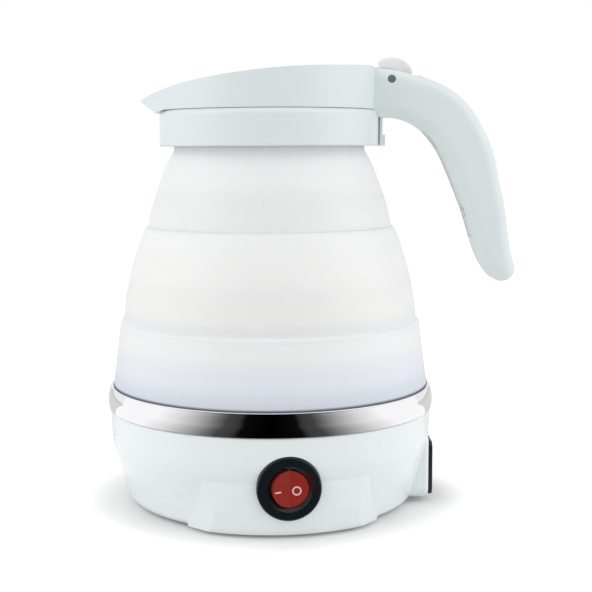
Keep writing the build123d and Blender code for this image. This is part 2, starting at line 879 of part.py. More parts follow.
def make_thermostat():
    """The boil-dry thermostat: cap, flange and two blade terminals."""
    top = pan_bottom - seat_gap * 2 - spreader_thickness
    with BuildPart() as thermostat:
        with BuildSketch(Plane.XY.offset(top - thermostat_flange_thickness)):
            Circle(thermostat_flange_radius)
        extrude(amount=thermostat_flange_thickness)
        with BuildSketch(Plane.XY.offset(top - thermostat_height)):
            Circle(thermostat_radius)
        extrude(amount=thermostat_height)
        with BuildSketch(Plane.XY.offset(top - thermostat_height - thermostat_blade_length)):
            with Locations((0, thermostat_blade_offset), (0, -thermostat_blade_offset)):
                Rectangle(thermostat_blade_width, thermostat_blade_thickness)
        extrude(amount=thermostat_blade_length)
    save(thermostat, "thermostat")


def make_thermal_fuse():
    """The thermal fuse, a small sleeve with two leads, clipped under the spreader."""
    height = pan_bottom - seat_gap * 2 - spreader_thickness - fuse_radius
    with BuildPart() as thermal_fuse:
        with BuildSketch(Plane.YZ.offset(-fuse_length / 2)):
            with Locations((fuse_offset, height)):
                Circle(fuse_radius)
        extrude(amount=fuse_length)
        with BuildSketch(Plane.YZ.offset(-fuse_length / 2 - fuse_lead_length)):
            with Locations((fuse_offset, height)):
                Circle(fuse_lead_radius)
        extrude(amount=fuse_length + fuse_lead_length * 2)
    save(thermal_fuse, "thermal_fuse")


def make_silicone_lower_band():
    """The stiff lower band, from its clamped foot to the lip of its ledge."""
    foot_top = spigot_height + seat_gap
    lower_inner_top = belly_low_radius - fold_wall
    with BuildPart() as lower_band:
        with BuildSketch(Plane.XZ):
            with BuildLine():
                Polyline(
                    (lower_foot_inner_radius, lower_foot_bottom),
                    (lower_foot_outer_radius, lower_foot_bottom),
                    (lower_foot_outer_radius, foot_top),
                    (lower_root_radius, foot_top),
                    (lower_root_radius, lower_root_height),
                    (lower_lip_radius, lower_lip_height),
                    (lower_lip_radius - lower_lip_round / 4, lower_top),
                    (lower_inner_top, lower_top),
                    (lower_seal_radius, lower_seal_top),
                    (lower_seal_radius, lower_seal_bottom),
                    (lower_foot_inner_radius, lower_seal_bottom),
                    close=True,
                )
            make_face()
        revolve(axis=Axis.Z)
        top_edges = lower_band.edges().filter_by(GeomType.CIRCLE).group_by(Axis.Z)[-1]
        fillet(top_edges.sort_by(SortBy.RADIUS)[-1], radius=lower_lip_round)
    save(lower_band, "silicone_lower_band")


def make_silicone_folds():
    """The two thin folds that roll inside out when the kettle is pushed flat."""
    with BuildPart() as lower_fold:
        add(wall_of_arc(belly_arc(), fold_wall, lower_top + fold_seam, middle_bottom - fold_seam))
    save(lower_fold, "silicone_lower_fold")
    low = belly_top + step_height
    with BuildPart() as upper_fold:
        add(wall_of_arc(shoulder_arc(), fold_wall, low + fold_seam, neck_bottom - fold_seam))
    save(upper_fold, "silicone_upper_fold")


def make_silicone_middle_band():
    """The stiff middle band, with a rounded step at its top."""
    with BuildPart() as middle_band:
        add(wall_of_arc(belly_arc(), band_wall, middle_bottom, belly_top + step_height))
        top_edges = middle_band.edges().filter_by(GeomType.CIRCLE).group_by(Axis.Z)[-1]
        fillet(top_edges.sort_by(SortBy.RADIUS)[-1], radius=band_edge_round)
    save(middle_band, "silicone_middle_band")


def make_silicone_neck_band():
    """The stiff neck band, with the bead that the collar holds."""
    with BuildPart() as neck_band:
        add(wall_of_arc(shoulder_arc(), neck_wall, neck_bottom, shoulder_top))
        with BuildSketch(Plane.XY.offset(shoulder_top)):
            Circle(neck_outer_radius)
            Circle(neck_inner_radius, mode=Mode.SUBTRACT)
        extrude(amount=bead_bottom + bead_height - shoulder_top)
        with BuildSketch(Plane.XY.offset(bead_bottom)):
            Circle(bead_radius)
            Circle(neck_inner_radius, mode=Mode.SUBTRACT)
        extrude(amount=bead_height)
    save(neck_band, "silicone_neck_band")


def collar_form(grow):
    """The collar's outer form as a plug, grown by a clearance, to cut what sits on it."""
    with BuildPart() as form:
        with BuildSketch(Plane.XY.offset(collar_bottom - overrun)):
            Circle(collar_radius + grow)
        extrude(amount=overrun + collar_top - collar_bottom)
        fillet(form.edges().group_by(Axis.Z)[-1], radius=collar_top_round + grow)
    return form.part


def make_collar():
    """The white ring round the neck, with the shelf that holds the silicone bead."""
    with BuildPart() as collar:
        with BuildSketch(Plane.XY.offset(collar_bottom)):
            Circle(collar_radius)
        extrude(amount=collar_top - collar_bottom)
        fillet(collar.edges().group_by(Axis.Z)[-1], radius=collar_top_round)
        fillet(collar.edges().group_by(Axis.Z)[0], radius=collar_low_round)
        with BuildSketch(Plane.XY.offset(collar_bottom - overrun)):
            Circle(collar_mouth_radius)
        extrude(amount=collar_top + overrun * 2 - collar_bottom, mode=Mode.SUBTRACT)
        with BuildSketch(Plane.XY.offset(collar_bottom + collar_shelf_thickness)):
            Circle(collar_bore_radius)
        extrude(amount=collar_top, mode=Mode.SUBTRACT)
    save(collar, "collar")


def make_neck_ring():
    """The stiff sleeve inside the silicone neck, whose flange presses on the bead."""
    flange_bottom = bead_bottom + bead_height + seat_gap
    with BuildPart() as neck_ring:
        with BuildSketch(Plane.XY.offset(neck_ring_bottom)):
            Circle(neck_ring_inner_radius + neck_ring_wall)
        extrude(amount=flange_bottom - neck_ring_bottom)
        with BuildSketch(Plane.XY.offset(flange_bottom)):
            Circle(neck_ring_flange_radius)
        extrude(amount=neck_ring_flange_thickness)
        with BuildSketch(Plane.XY.offset(neck_ring_bottom - overrun)):
            Circle(neck_ring_inner_radius)
        extrude(amount=collar_top, mode=Mode.SUBTRACT)
        fillet(neck_ring.edges().group_by(Axis.Z)[0], radius=neck_ring_wall / 4)
    save(neck_ring, "neck_ring")


def handle_blank():
    """The solid form of the handle, from its root in the ring to its rounded tip."""
    with BuildPart() as blank:
        with BuildSketch(Plane.XZ):
            with BuildLine():
                root_top = arch_points()[-1]
                outer = Spline(root_top, *[handle_point(shares) for shares in handle_outer_shares])
                inner = Spline(*[handle_point(shares) for shares in handle_inner_shares])
                ThreePointArc(outer @ 1, handle_point(handle_tip_shares), inner @ 1)
                Polyline(
                    inner @ 0,
                    (handle_root_x, (inner @ 0).Y),
                    (handle_root_x, root_top[1]),
                    root_top,
                )
            make_face()
        extrude(amount=handle_width / 2, both=True)
        side_faces = blank.faces().filter_by(Axis.Y)
        fillet(side_faces.edges().filter_by(GeomType.LINE, reverse=True), radius=handle_round)
    return blank.part


def channel_block(width, depth_share, grow_share):
    """The strip of the handle behind its inner line, from one station to another."""
    stations = range(channel_first_station, channel_last_station + 1)
    with BuildPart() as strip:
        with BuildSketch(Plane.XZ):
            with BuildLine():
                near = Spline(*[tuple(handle_between(s, -grow_share))[:2] for s in stations])
                far = Spline(*[tuple(handle_between(s, depth_share))[:2] for s in stations])
                Line(near @ 0, far @ 0)
                Line(near @ 1, far @ 1)
            make_face()
        extrude(amount=width / 2, both=True)
    return strip.part


def handle_axis_plane(station, depth_share):
    """The plane square to the handle's depth at a station, facing out of its inner side."""
    near, far = handle_between(station, 0), handle_between(station, 1)
    place = handle_between(station, depth_share)
    out = (near - far).normalized()
    return Plane(origin=(place.X, 0, place.Y), x_dir=(0, 1, 0), z_dir=(out.X, 0, out.Y))


def make_handle_frame():
    """The one moulding of ring, spout, handle root and handle shell."""
    collar_cut = collar_form(seat_gap)
    grip = handle_blank()
    channel = channel_block(channel_width, channel_depth_share, liner_depth_share)
    liner_room = channel_block(
        channel_width, liner_depth_share + liner_gap_share, liner_depth_share
    )
    with BuildPart() as ring:
        with BuildSketch(Plane.XY.offset(spout_root_height - frame_floor)):
            with BuildLine():
                draw_teardrop(0)
            make_face()
        extrude(amount=arch_top - spout_root_height + overrun)
        with BuildSketch(Plane.XZ):
            with BuildLine():
                top = Spline(*arch_points())
                Polyline(
                    top @ 1,
                    (frame_radius + overrun, (top @ 1).Y),
                    (frame_radius + overrun, collar_top),
                    (-frame_radius + frame_floor, collar_top),
                    (-spout_root_reach, spout_root_height),
                    (-spout_reach, spout_tip_height - spout_tip_thickness),
                    top @ 0,
                )
            make_face()
        extrude(amount=frame_radius + overrun, both=True, mode=Mode.INTERSECT)
    with BuildPart() as well:
        with BuildSketch(Plane.XY.offset(frame_floor_top)):
            with BuildLine():
                draw_teardrop(frame_wall)
            make_face()
        extrude(amount=arch_top)
        with BuildSketch(Plane.XZ):
            with BuildLine():
                Polyline(
                    (frame_radius, arch_top + overrun), (frame_radius, frame_floor_top),
                    (-spout_root_reach + frame_floor, frame_floor_top),
                    (-spout_reach + frame_wall, spout_tip_height),
                    (-spout_reach + frame_wall, arch_top + overrun),
                    close=True,
                )
            make_face()
        extrude(amount=frame_radius, both=True, mode=Mode.INTERSECT)
    with BuildPart() as handle_frame:
        add(ring.part)
        add(grip)
        add(well.part, mode=Mode.SUBTRACT)
        add(collar_cut, mode=Mode.SUBTRACT)
        # spigot that presses on the neck ring inside the collar
        spigot_bottom = bead_bottom + bead_height + seat_gap * 2 + neck_ring_flange_thickness
        with BuildSketch(Plane.XY.offset(spigot_bottom)):
            Circle(collar_bore_radius - seat_gap)
            Circle(collar_bore_radius - seat_gap - frame_spigot_wall, mode=Mode.SUBTRACT)
        extrude(amount=frame_floor_top - spigot_bottom)
        with BuildSketch(Plane.XY.offset(collar_top)):
            Circle(mouth_radius)
        extrude(amount=frame_floor, mode=Mode.SUBTRACT)
        # strap and nub down the back of the collar
        strap_start = collar_radius + seat_gap
        with BuildSketch(Plane.XZ):
            with BuildLine():
                Polyline(
                    (strap_start, collar_bottom),
                    (strap_start + nub_thickness, collar_bottom),
                    (strap_start + nub_thickness, collar_bottom + nub_height),
                    (strap_start + strap_thickness, collar_bottom + nub_height),
                    (strap_start + strap_thickness, collar_top),
                    (strap_start, collar_top),
                    close=True,
                )
            make_face()
        extrude(amount=strap_width / 2, both=True)
        # pocket of the hinge and its pin bore
        with BuildSketch(Plane.XY.offset(hinge_z - pocket_floor_drop)):
            with Locations(((pocket_start + pocket_end) / 2, 0)):
                Rectangle(pocket_end - pocket_start, pocket_half_width * 2)
        extrude(amount=arch_top, mode=Mode.SUBTRACT)
        with BuildSketch(Plane.XZ):
            with Locations((hinge_x, hinge_z)):
                Circle(pin_radius + pin_gap)
        extrude(amount=handle_width, both=True, mode=Mode.SUBTRACT)
        # hollow of the handle, with its screw bosses
        add(channel, mode=Mode.SUBTRACT)
        for station in handle_screw_stations:
            with BuildSketch(handle_axis_plane(station, liner_depth_share)):
                Circle(handle_boss_radius)
            extrude(amount=-handle_boss_depth(station))
            with BuildSketch(handle_axis_plane(station, liner_depth_share)):
                Circle(post_pilot_radius)
            extrude(amount=-handle_screw_length, mode=Mode.SUBTRACT)
        add(liner_room, mode=Mode.SUBTRACT)
    save(handle_frame, "handle_frame")


def handle_boss_depth(station):
    """How far a screw boss runs, from the liner to the floor of the handle's hollow."""
    near = handle_between(station, liner_depth_share)
    far = handle_between(station, channel_depth_share + liner_depth_share / 2)
    return (far - near).length


def make_handle_liner():
    """The cover strip on the inner side of the handle."""
    room = screw_room(handle_screw_length)
    with BuildPart() as handle_liner:
        add(channel_block(liner_width, liner_depth_share, -liner_gap_share * 2))
        for station in handle_screw_stations:
            with Locations(handle_axis_plane(station, liner_gap_share * 3)):
                add(room, mode=Mode.SUBTRACT)
        for station in (channel_first_station, channel_last_station):
            with BuildSketch(handle_axis_plane(station, 0)):
                Rectangle(handle_width, seat_gap * 2)
            extrude(amount=handle_width, both=True, mode=Mode.SUBTRACT)
    save(handle_liner, "handle_liner")


def make_handle_screws():
    """The two screws that hold the liner in the handle."""
    form = screw_form(handle_screw_length)
    with BuildPart() as handle_screws:
        for station in handle_screw_stations:
            with Locations(handle_axis_plane(station, liner_gap_share * 3)):
                add(form)
    save(handle_screws, "handle_screws")


def make_hinge_pin():
    """The steel pin through the handle's root."""
    with BuildPart() as hinge_pin:
        with BuildSketch(Plane.XZ):
            with Locations((hinge_x, hinge_z)):
                Circle(pin_radius)
        extrude(amount=handle_width / 2 - pin_inset, both=True)
        fillet(hinge_pin.edges().filter_by(GeomType.CIRCLE), radius=pin_round)
    save(hinge_pin, "hinge_pin")


def make_release_lever():
    """The clear thumb lever over the pin."""
    with BuildPart() as release_lever:
        with BuildSketch(Plane.XZ):
            with BuildLine():
                crown = ThreePointArc(
                    (hinge_x - lever_front, hinge_z + lever_front_rise),
                    (hinge_x, hinge_z + lever_crown_rise),
                    (hinge_x + lever_rear, hinge_z + lever_rear_rise),
                )
                Polyline(
                    crown @ 1,
                    (hinge_x + lever_rear, hinge_z + lever_under_rise),
                    (hinge_x, hinge_z),
                    (hinge_x - lever_front + lever_round, hinge_z),
                    crown @ 0,
                )
            make_face()
            with Locations((hinge_x, hinge_z)):
                Circle(lever_hub_radius)
                Circle(pin_radius + pin_gap, mode=Mode.SUBTRACT)
        extrude(amount=lever_width / 2, both=True)
        rims = release_lever.edges().filter_by(GeomType.CIRCLE)
        fillet(rims.sort_by(SortBy.LENGTH)[-2:], radius=lever_round)
        with BuildSketch(Plane.XZ):
            with Locations((hinge_x, hinge_z)):
                Circle(lever_hub_radius + pin_gap)
        extrude(amount=lever_slot_width / 2, both=True, mode=Mode.SUBTRACT)
    save(release_lever, "release_lever")


def make_lid():
    """The domed lid that lies flush in the ring, with two hinge arms."""
    low = hinge_z - knuckle_radius
    with BuildPart() as arms:
        with BuildSketch(Plane.XZ):
            with BuildLine():
                Polyline(
                    (arm_start, arch_top), (hinge_x, arch_top), (hinge_x, low),
                    (hinge_x - knuckle_radius, low), (arm_start, hinge_z), close=True,
                )
            make_face()
            with Locations((hinge_x, hinge_z)):
                Circle(knuckle_radius)
        extrude(amount=arm_centre + arm_width / 2, both=True)
        with BuildSketch(Plane.XZ):
            Rectangle(arch_top * 2, arch_top * 2)
        extrude(amount=arm_centre - arm_width / 2, both=True, mode=Mode.SUBTRACT)
        with BuildPart(mode=Mode.PRIVATE) as turning_room:
            with BuildSketch(Plane.XZ):
                Rectangle(hinge_x * 2, arch_top * 3)
                with Locations((hinge_x, hinge_z)):
                    Circle(knuckle_radius)
            extrude(amount=frame_radius, both=True)
        add(turning_room.part, mode=Mode.INTERSECT)
        add(arch_block(lid_edge_round / 2, low - overrun, hinge_x + overrun), mode=Mode.INTERSECT)
        with BuildSketch(Plane.XZ):
            with Locations((hinge_x, hinge_z)):
                Circle(pin_radius + pin_gap)
        extrude(amount=handle_width, both=True, mode=Mode.SUBTRACT)
    with BuildPart() as lid:
        with BuildSketch(Plane.XY.offset(spout_tip_height)):
            with BuildLine():
                draw_teardrop(frame_wall + lid_side_gap)
            make_face()
        extrude(amount=arch_height)
        with BuildSketch(Plane.XY.offset(spout_tip_height)):
            with Locations((-lid_rear_shift, 0)):
                Circle(lid_rear_radius)
        extrude(amount=arch_height, mode=Mode.INTERSECT)
        with BuildSketch(Plane.XY.offset(spout_tip_height)):
            with Locations((frame_radius - lid_front, 0)):
                Rectangle(frame_radius * 2, frame_radius * 2)
        extrude(amount=arch_height, mode=Mode.INTERSECT)
        add(arch_block(0, spout_tip_height - overrun, frame_radius), mode=Mode.INTERSECT)
        add(arch_block(lid_thickness, liner_bottom, frame_radius), mode=Mode.SUBTRACT)
        add(arms.part)
        # posts that the liner is screwed to
        with BuildPart(mode=Mode.PRIVATE) as posts:
            with BuildSketch(Plane.XY.offset(liner_bottom + liner_wall + seat_gap)):
                with Locations((0, lid_screw_reach), (0, -lid_screw_reach)):
                    Circle(lid_post_radius)
            extrude(amount=arch_height)
            add(arch_block(lid_thickness / 2, liner_bottom - overrun, frame_radius), mode=Mode.INTERSECT)
            with BuildSketch(Plane.XY.offset(liner_bottom)):
                with Locations((0, lid_screw_reach), (0, -lid_screw_reach)):
                    Circle(post_pilot_radius)
            extrude(amount=lid_screw_length + liner_wall, mode=Mode.SUBTRACT)
        add(posts.part)
    save(lid, "lid")


def make_lid_liner():
    """The cup under the lid that fits the mouth, with slots to pour through at its front."""
    with BuildPart() as lid_liner:
        with BuildSketch(Plane.XY.offset(liner_bottom)):
            Circle(liner_radius)
        extrude(amount=arch_top - liner_bottom)
        add(
            arch_block(lid_thickness + liner_seat_gap, liner_bottom - overrun, frame_radius),
            mode=Mode.INTERSECT,
        )
        with BuildSketch(Plane.XY.offset(liner_bottom + liner_wall)):
            Circle(liner_radius - liner_wall)
        extrude(amount=arch_top, mode=Mode.SUBTRACT)
        # gate in the front of the cup's wall
        with BuildSketch(Plane.XY.offset(liner_bottom + liner_wall * 2 + liner_seal_height)):
            with Locations((-liner_radius, 0)):
                Rectangle(liner_radius, pour_gate_width)
        extrude(amount=pour_gate_height, mode=Mode.SUBTRACT)
        # bead that carries the seal
        with BuildSketch(Plane.XY.offset(liner_bottom + liner_wall + liner_seal_height)):
            Circle(liner_radius + liner_seal_inset)
            Circle(liner_radius - liner_wall, mode=Mode.SUBTRACT)
        extrude(amount=liner_wall / 2)
        with BuildSketch(Plane.XY.offset(liner_bottom - overrun)):
            with Locations((-pour_slot_reach, 0)):
                with GridLocations(pour_slot_pitch, pour_slot_pitch, 1, pour_slot_count):
                    SlotOverall(pour_slot_length, pour_slot_width)
        extrude(amount=overrun + liner_wall * 2, mode=Mode.SUBTRACT)
        with BuildSketch(Plane.XY.offset(liner_bottom - overrun)):
            with Locations((0, lid_screw_reach), (0, -lid_screw_reach)):
                Circle(screw_shank_radius + seat_gap)
        extrude(amount=overrun + liner_wall * 2, mode=Mode.SUBTRACT)
    save(lid_liner, "lid_liner")


def make_lid_seal():
    """The soft ring round the liner, just inside the mouth."""
    with BuildPart() as lid_seal:
        with BuildSketch(Plane.XY.offset(liner_bottom + liner_wall)):
            Circle(liner_seal_radius)
            Circle(liner_radius + seat_gap, mode=Mode.SUBTRACT)
        extrude(amount=liner_seal_height - seat_gap)
    save(lid_seal, "lid_seal")


def make_lid_screws():
    """The two screws that hold the liner to the lid."""
    form = screw_form(lid_screw_length)
    with BuildPart() as lid_screws:
        with Locations(
            Location((0, lid_screw_reach, liner_bottom - screw_head_height), (180, 0, 0)),
            Location((0, -lid_screw_reach, liner_bottom - screw_head_height), (180, 0, 0)),
        ):
            add(form)
    save(lid_screws, "lid_screws")


def make_switch_housing():
    """The round switch's black bezel and body, with the well that the rocker turns in."""
    front = switch_plane(switch_seat)
    well_radius = rocker_radius + rocker_hole_gap
    with BuildPart() as switch_housing:
        with BuildSketch(front):
            Circle(bezel_radius)
        extrude(amount=bezel_thickness)
        rim = switch_housing.faces().sort_by(Axis((0, 0, 0), front.z_dir))[-1]
        fillet(rim.edges(), radius=bezel_round)
        with BuildSketch(front):
            Circle(switch_body_radius)
        extrude(amount=-switch_body_depth)
        with BuildSketch(switch_plane(switch_seat - switch_body_depth)):
            RectangleRounded(switch_block_width, switch_block_height, bezel_round)
        extrude(amount=-switch_block_depth)
        # straight well with a flared mouth
        pivot_plane = switch_plane(switch_seat + bezel_thickness - rocker_pivot_drop)
        with BuildSketch(switch_plane(switch_seat + bezel_thickness - bezel_flare_depth)):
            Circle(well_radius)
        with BuildSketch(switch_plane(switch_seat + bezel_thickness)):
            Circle(bezel_flare_radius)
        loft(mode=Mode.SUBTRACT)
        with BuildSketch(switch_plane(switch_seat + bezel_thickness)):
            Circle(well_radius)
        extrude(amount=-switch_well_depth - rocker_pivot_drop, mode=Mode.SUBTRACT)
        # bores for the rocker's trunnions
        with BuildSketch(Plane(origin=pivot_plane.origin, x_dir=front.z_dir, z_dir=(0, 0, 1))):
            Circle(trunnion_radius + pin_gap)
        extrude(amount=well_radius + trunnion_length + seat_gap, both=True, mode=Mode.SUBTRACT)
    save(switch_housing, "switch_housing")


def make_switch_rocker():
    """The red rocker, at rest with its right side pressed in, on two trunnions."""
    pivot = switch_plane(switch_seat + bezel_thickness - rocker_pivot_drop)
    tilted = Plane(pivot.location * Rot(0, rocker_rest_tilt, 0))
    rim_rise = rocker_centre_rise + rocker_radius * math.tan(math.radians(rocker_rise_angle))
    side_plane = Plane(origin=tilted.origin, x_dir=tilted.x_dir, z_dir=-tilted.y_dir)
    with BuildPart() as switch_rocker:
        with BuildSketch(side_plane):
            with BuildLine():
                Polyline(
                    (-rocker_radius, -rocker_depth), (-rocker_radius, rim_rise),
                    (0, rocker_centre_rise), (rocker_radius, rim_rise),
                    (rocker_radius, -rocker_depth), close=True,
                )
            make_face()
        extrude(amount=rocker_radius, both=True)
        # round above the pivot, and a ball below it so that it turns in its straight well
        with BuildPart(mode=Mode.PRIVATE) as round_form:
            with BuildSketch(tilted):
                Circle(rocker_radius)
            extrude(amount=rim_rise)
            with Locations(tilted):
                Sphere(rocker_radius)
        add(round_form.part, mode=Mode.INTERSECT)
        with BuildSketch(Plane(origin=pivot.origin, x_dir=pivot.z_dir, z_dir=(0, 0, 1))):
            Circle(trunnion_radius)
        extrude(amount=rocker_radius + rocker_hole_gap + trunnion_length, both=True)
    save(switch_rocker, "switch_rocker")


def make_switch_terminals():
    """The blade terminals behind the switch."""
    back = switch_plane(switch_seat - switch_body_depth - switch_block_depth - seat_gap)
    with BuildPart() as switch_terminals:
        with BuildSketch(back):
            with GridLocations(blade_pitch, blade_pitch, blade_count, 1):
                Rectangle(blade_thickness, blade_width)
        extrude(amount=-blade_length)
    save(switch_terminals, "switch_terminals")


def draw_inlet_well():
    """Draw the section of the inlet's well, with its two upper corners cut off."""
    half_width, half_height = inlet_well_width / 2, inlet_well_height / 2
    Polyline(
        (-half_width, -half_height), (half_width, -half_height),
        (half_width, half_height - inlet_well_chamfer),
        (half_width - inlet_well_chamfer, half_height),
        (-half_width + inlet_well_chamfer, half_height),
        (-half_width, half_height - inlet_well_chamfer),
        close=True,
    )


def inlet_plane(x):
    """The plane square to the inlet's axis, seen from outside, at a distance along X."""
    return Plane(origin=(x, 0, inlet_centre), x_dir=(0, 1, 0), z_dir=(1, 0, 0))


def inlet_pin_places():
    """Centres of the three pins in the inlet's plane."""
    return (
        (-inlet_pin_pitch, -inlet_pin_shift),
        (inlet_pin_pitch, -inlet_pin_shift),
        (0, inlet_pin_shift),
    )


def make_inlet_body():
    """The black mains inlet: flange, body and the well round its pins."""
    with BuildPart() as inlet_body:
        with BuildSketch(inlet_plane(inlet_face)):
            RectangleRounded(inlet_width, inlet_height, inlet_flange_corner)
        extrude(amount=inlet_flange)
        fillet(inlet_body.faces().sort_by(Axis.X)[-1].edges(), radius=inlet_flange / 4)
        with BuildSketch(inlet_plane(inlet_face)):
            Rectangle(inlet_body_width, inlet_body_height)
        extrude(amount=-inlet_body_depth)
        with BuildSketch(inlet_plane(inlet_face + inlet_flange - inlet_well_depth)):
            with BuildLine():
                draw_inlet_well()
            make_face()
        extrude(amount=inlet_well_depth, mode=Mode.SUBTRACT)
        with BuildSketch(inlet_plane(inlet_face - inlet_body_depth)):
            with Locations(*inlet_pin_places()):
                Rectangle(inlet_pin_width + seat_gap, inlet_pin_height + seat_gap)
        extrude(amount=inlet_body_depth, mode=Mode.SUBTRACT)
    save(inlet_body, "inlet_body")


def make_inlet_pins():
    """The line, neutral and earth pins, with the tabs behind the inlet."""
    back = inlet_face - inlet_body_depth
    well_floor = inlet_face + inlet_flange - inlet_well_depth
    with BuildPart() as inlet_pins:
        with BuildSketch(inlet_plane(back)):
            with Locations(*inlet_pin_places()):
                Rectangle(inlet_pin_width, inlet_pin_height)
        extrude(amount=well_floor + inlet_pin_length - back)
        chamfer(inlet_pins.faces().sort_by(Axis.X)[-3:].edges(), length=inlet_pin_width / 4)
        with BuildSketch(inlet_plane(back)):
            with Locations(*inlet_pin_places()):
                Rectangle(inlet_tab_thickness, inlet_pin_height)
        extrude(amount=-inlet_tab_length)
    save(inlet_pins, "inlet_pins")


os.makedirs("parts", exist_ok=True)
make_base_shell()
make_pan_carrier()
make_base_plate()
make_foot_ring()
make_base_screws()
make_trim_ring()
make_heating_pan()
make_pan_nuts()
make_pan_seal()
make_spreader_plate()
make_heating_element()
make_thermostat()
make_thermal_fuse()
make_silicone_lower_band()
make_silicone_folds()
make_silicone_middle_band()
make_silicone_neck_band()
make_collar()
make_neck_ring()
make_handle_frame()
make_handle_liner()
make_handle_screws()
make_hinge_pin()
make_release_lever()
make_lid()
make_lid_liner()
make_lid_seal()
make_lid_screws()
make_switch_housing()
make_switch_rocker()
make_switch_terminals()
make_inlet_body()
make_inlet_pins()
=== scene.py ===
"""The looks of a collapsible travel kettle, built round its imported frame.

The kettle stands on Z = 0 with its axis on Z. The handle points to +X, the spout to -X and the
rocker switch faces -Y. Lengths are millimetres unless they are said to be metres, and meshes are
in metres. A point of a profile is a radius and a height.
"""

from __future__ import annotations

import json
import logging
import math
from dataclasses import dataclass, field
from enum import Enum
from typing import Any

import bmesh
import bpy
from mathutils import Matrix, Vector

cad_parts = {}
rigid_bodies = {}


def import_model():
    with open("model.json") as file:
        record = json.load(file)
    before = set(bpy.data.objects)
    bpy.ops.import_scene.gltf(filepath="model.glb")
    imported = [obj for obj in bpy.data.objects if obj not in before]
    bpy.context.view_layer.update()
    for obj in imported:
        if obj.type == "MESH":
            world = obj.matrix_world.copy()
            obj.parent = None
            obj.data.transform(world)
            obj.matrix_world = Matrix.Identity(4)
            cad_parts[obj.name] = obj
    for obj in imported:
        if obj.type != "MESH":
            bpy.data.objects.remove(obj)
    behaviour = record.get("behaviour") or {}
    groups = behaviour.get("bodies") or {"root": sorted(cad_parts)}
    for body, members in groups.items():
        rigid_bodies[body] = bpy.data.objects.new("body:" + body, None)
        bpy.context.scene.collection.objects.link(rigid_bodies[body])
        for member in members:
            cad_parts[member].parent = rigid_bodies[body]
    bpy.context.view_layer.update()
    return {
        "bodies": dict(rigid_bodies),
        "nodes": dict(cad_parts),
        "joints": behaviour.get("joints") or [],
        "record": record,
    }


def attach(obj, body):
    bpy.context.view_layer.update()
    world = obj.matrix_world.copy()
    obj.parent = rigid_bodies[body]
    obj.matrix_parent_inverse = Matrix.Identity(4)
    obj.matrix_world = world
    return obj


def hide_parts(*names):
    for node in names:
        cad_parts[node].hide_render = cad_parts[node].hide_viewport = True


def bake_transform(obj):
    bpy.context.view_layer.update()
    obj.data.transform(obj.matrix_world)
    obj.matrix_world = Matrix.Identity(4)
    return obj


LOG = logging.getLogger("kettle")
MM = 0.001
Colour = tuple[float, float, float]
Place = tuple[float, float, float]
Point2 = tuple[float, float]
Span = tuple[float, float]
# Three points that an arc runs through, and how many points to give
Arc = tuple[Point2, Point2, Point2, int]
# Centre, radius, two angles in degrees, and how many points to give
Corner = tuple[Point2, float, float, float, int]
Stops = list[tuple[float, Colour]]
Material = bpy.types.Material
Node = bpy.types.Node
Outputs = bpy.types.NodeOutputs
Socket = bpy.types.NodeSocket
Thing = bpy.types.Object
Tree = bpy.types.NodeTree

# Values that nearly all of a noise texture lies between
NOISE_SPAN: Span = (0.3, 0.7)
# Shares of a finish's roughness that its grain or its turned lines run between
GRAIN_GLOSS: Span = (0.9, 1.12)
LINES_GLOSS: Span = (0.8, 1.2)
# Cosines of the turn at an edge, where rubbing starts and where it is full
EDGE_SPAN: Span = (0.995, 0.82)
# Upward parts of a face's normal, where dust starts to lie and where it is full
UPWARD_SPAN: Span = (0.55, 1.0)
COAT_ROUGHNESS = 0.08
SCATTER_COLOUR: Colour = (1.0, 0.9, 0.8)
DUST_COLOUR: Colour = (0.62, 0.61, 0.58)
WHITE: Colour = (1.0, 1.0, 1.0)
# Share of the painted light's reach inside which it is full
PAINTED_LIGHT_CORE_SHARE = 0.35
# Angle in degrees from which a turned form keeps a sharp edge
SHARP_ANGLE = 40.0


class Body(Enum):
    """The moving bodies that the scene's own pieces ride on."""

    BASE = "base"
    MIDDLE = "middle"
    TOP = "top"
    ROCKER = "rocker"


class Mark(Enum):
    """The two marks on the rocker."""

    LINE = "line"
    CIRCLE = "circle"


def rgba(colour: Colour) -> tuple[float, float, float, float]:
    """Make a linear colour opaque."""
    return (*colour, 1.0)


def fill_inputs(tree: Tree, node: Node, values: dict) -> None:
    """Set or link a node's inputs.

    Args:
        tree: The node tree.
        node: The node.
        values: Values, or sockets to link, by the input's name or number.
    """
    for key, value in values.items():
        if isinstance(value, Socket):
            tree.links.new(value, node.inputs[key])
        else:
            node.inputs[key].default_value = value


def add_node(tree: Tree, kind: str, values: dict | None = None, **settings: Any) -> Node:
    """Add a node.

    Args:
        tree: The node tree.
        kind: The node's type.
        values: Values, or sockets to link, by the input's name or number.
        settings: Its attributes, such as its operation, set before its inputs.

    Returns:
        The node.
    """
    node = tree.nodes.new(kind)
    for key, value in settings.items():
        setattr(node, key, value)
    fill_inputs(tree, node, values or {})
    return node


def object_place(tree: Tree) -> Socket:
    """Give the socket of object coordinates."""
    return add_node(tree, "ShaderNodeTexCoord").outputs["Object"]


def split_node(tree: Tree, vector: Socket) -> Outputs:
    """Give the sockets of a vector's X, Y and Z."""
    return add_node(tree, "ShaderNodeSeparateXYZ", {"Vector": vector}).outputs


def math_node(tree: Tree, operation: str, *values: Any, clamp: bool = False) -> Socket:
    """Work on numbers or their sockets, kept from 0 to 1 where clamp is True."""
    settings = {"operation": operation, "use_clamp": clamp}
    return add_node(tree, "ShaderNodeMath", dict(enumerate(values)), **settings).outputs["Value"]


def vector_node(tree: Tree, operation: str, *values: Any) -> Socket:
    """Work out a number from vectors or their sockets."""
    inputs = dict(enumerate(values))
    return add_node(tree, "ShaderNodeVectorMath", inputs, operation=operation).outputs["Value"]


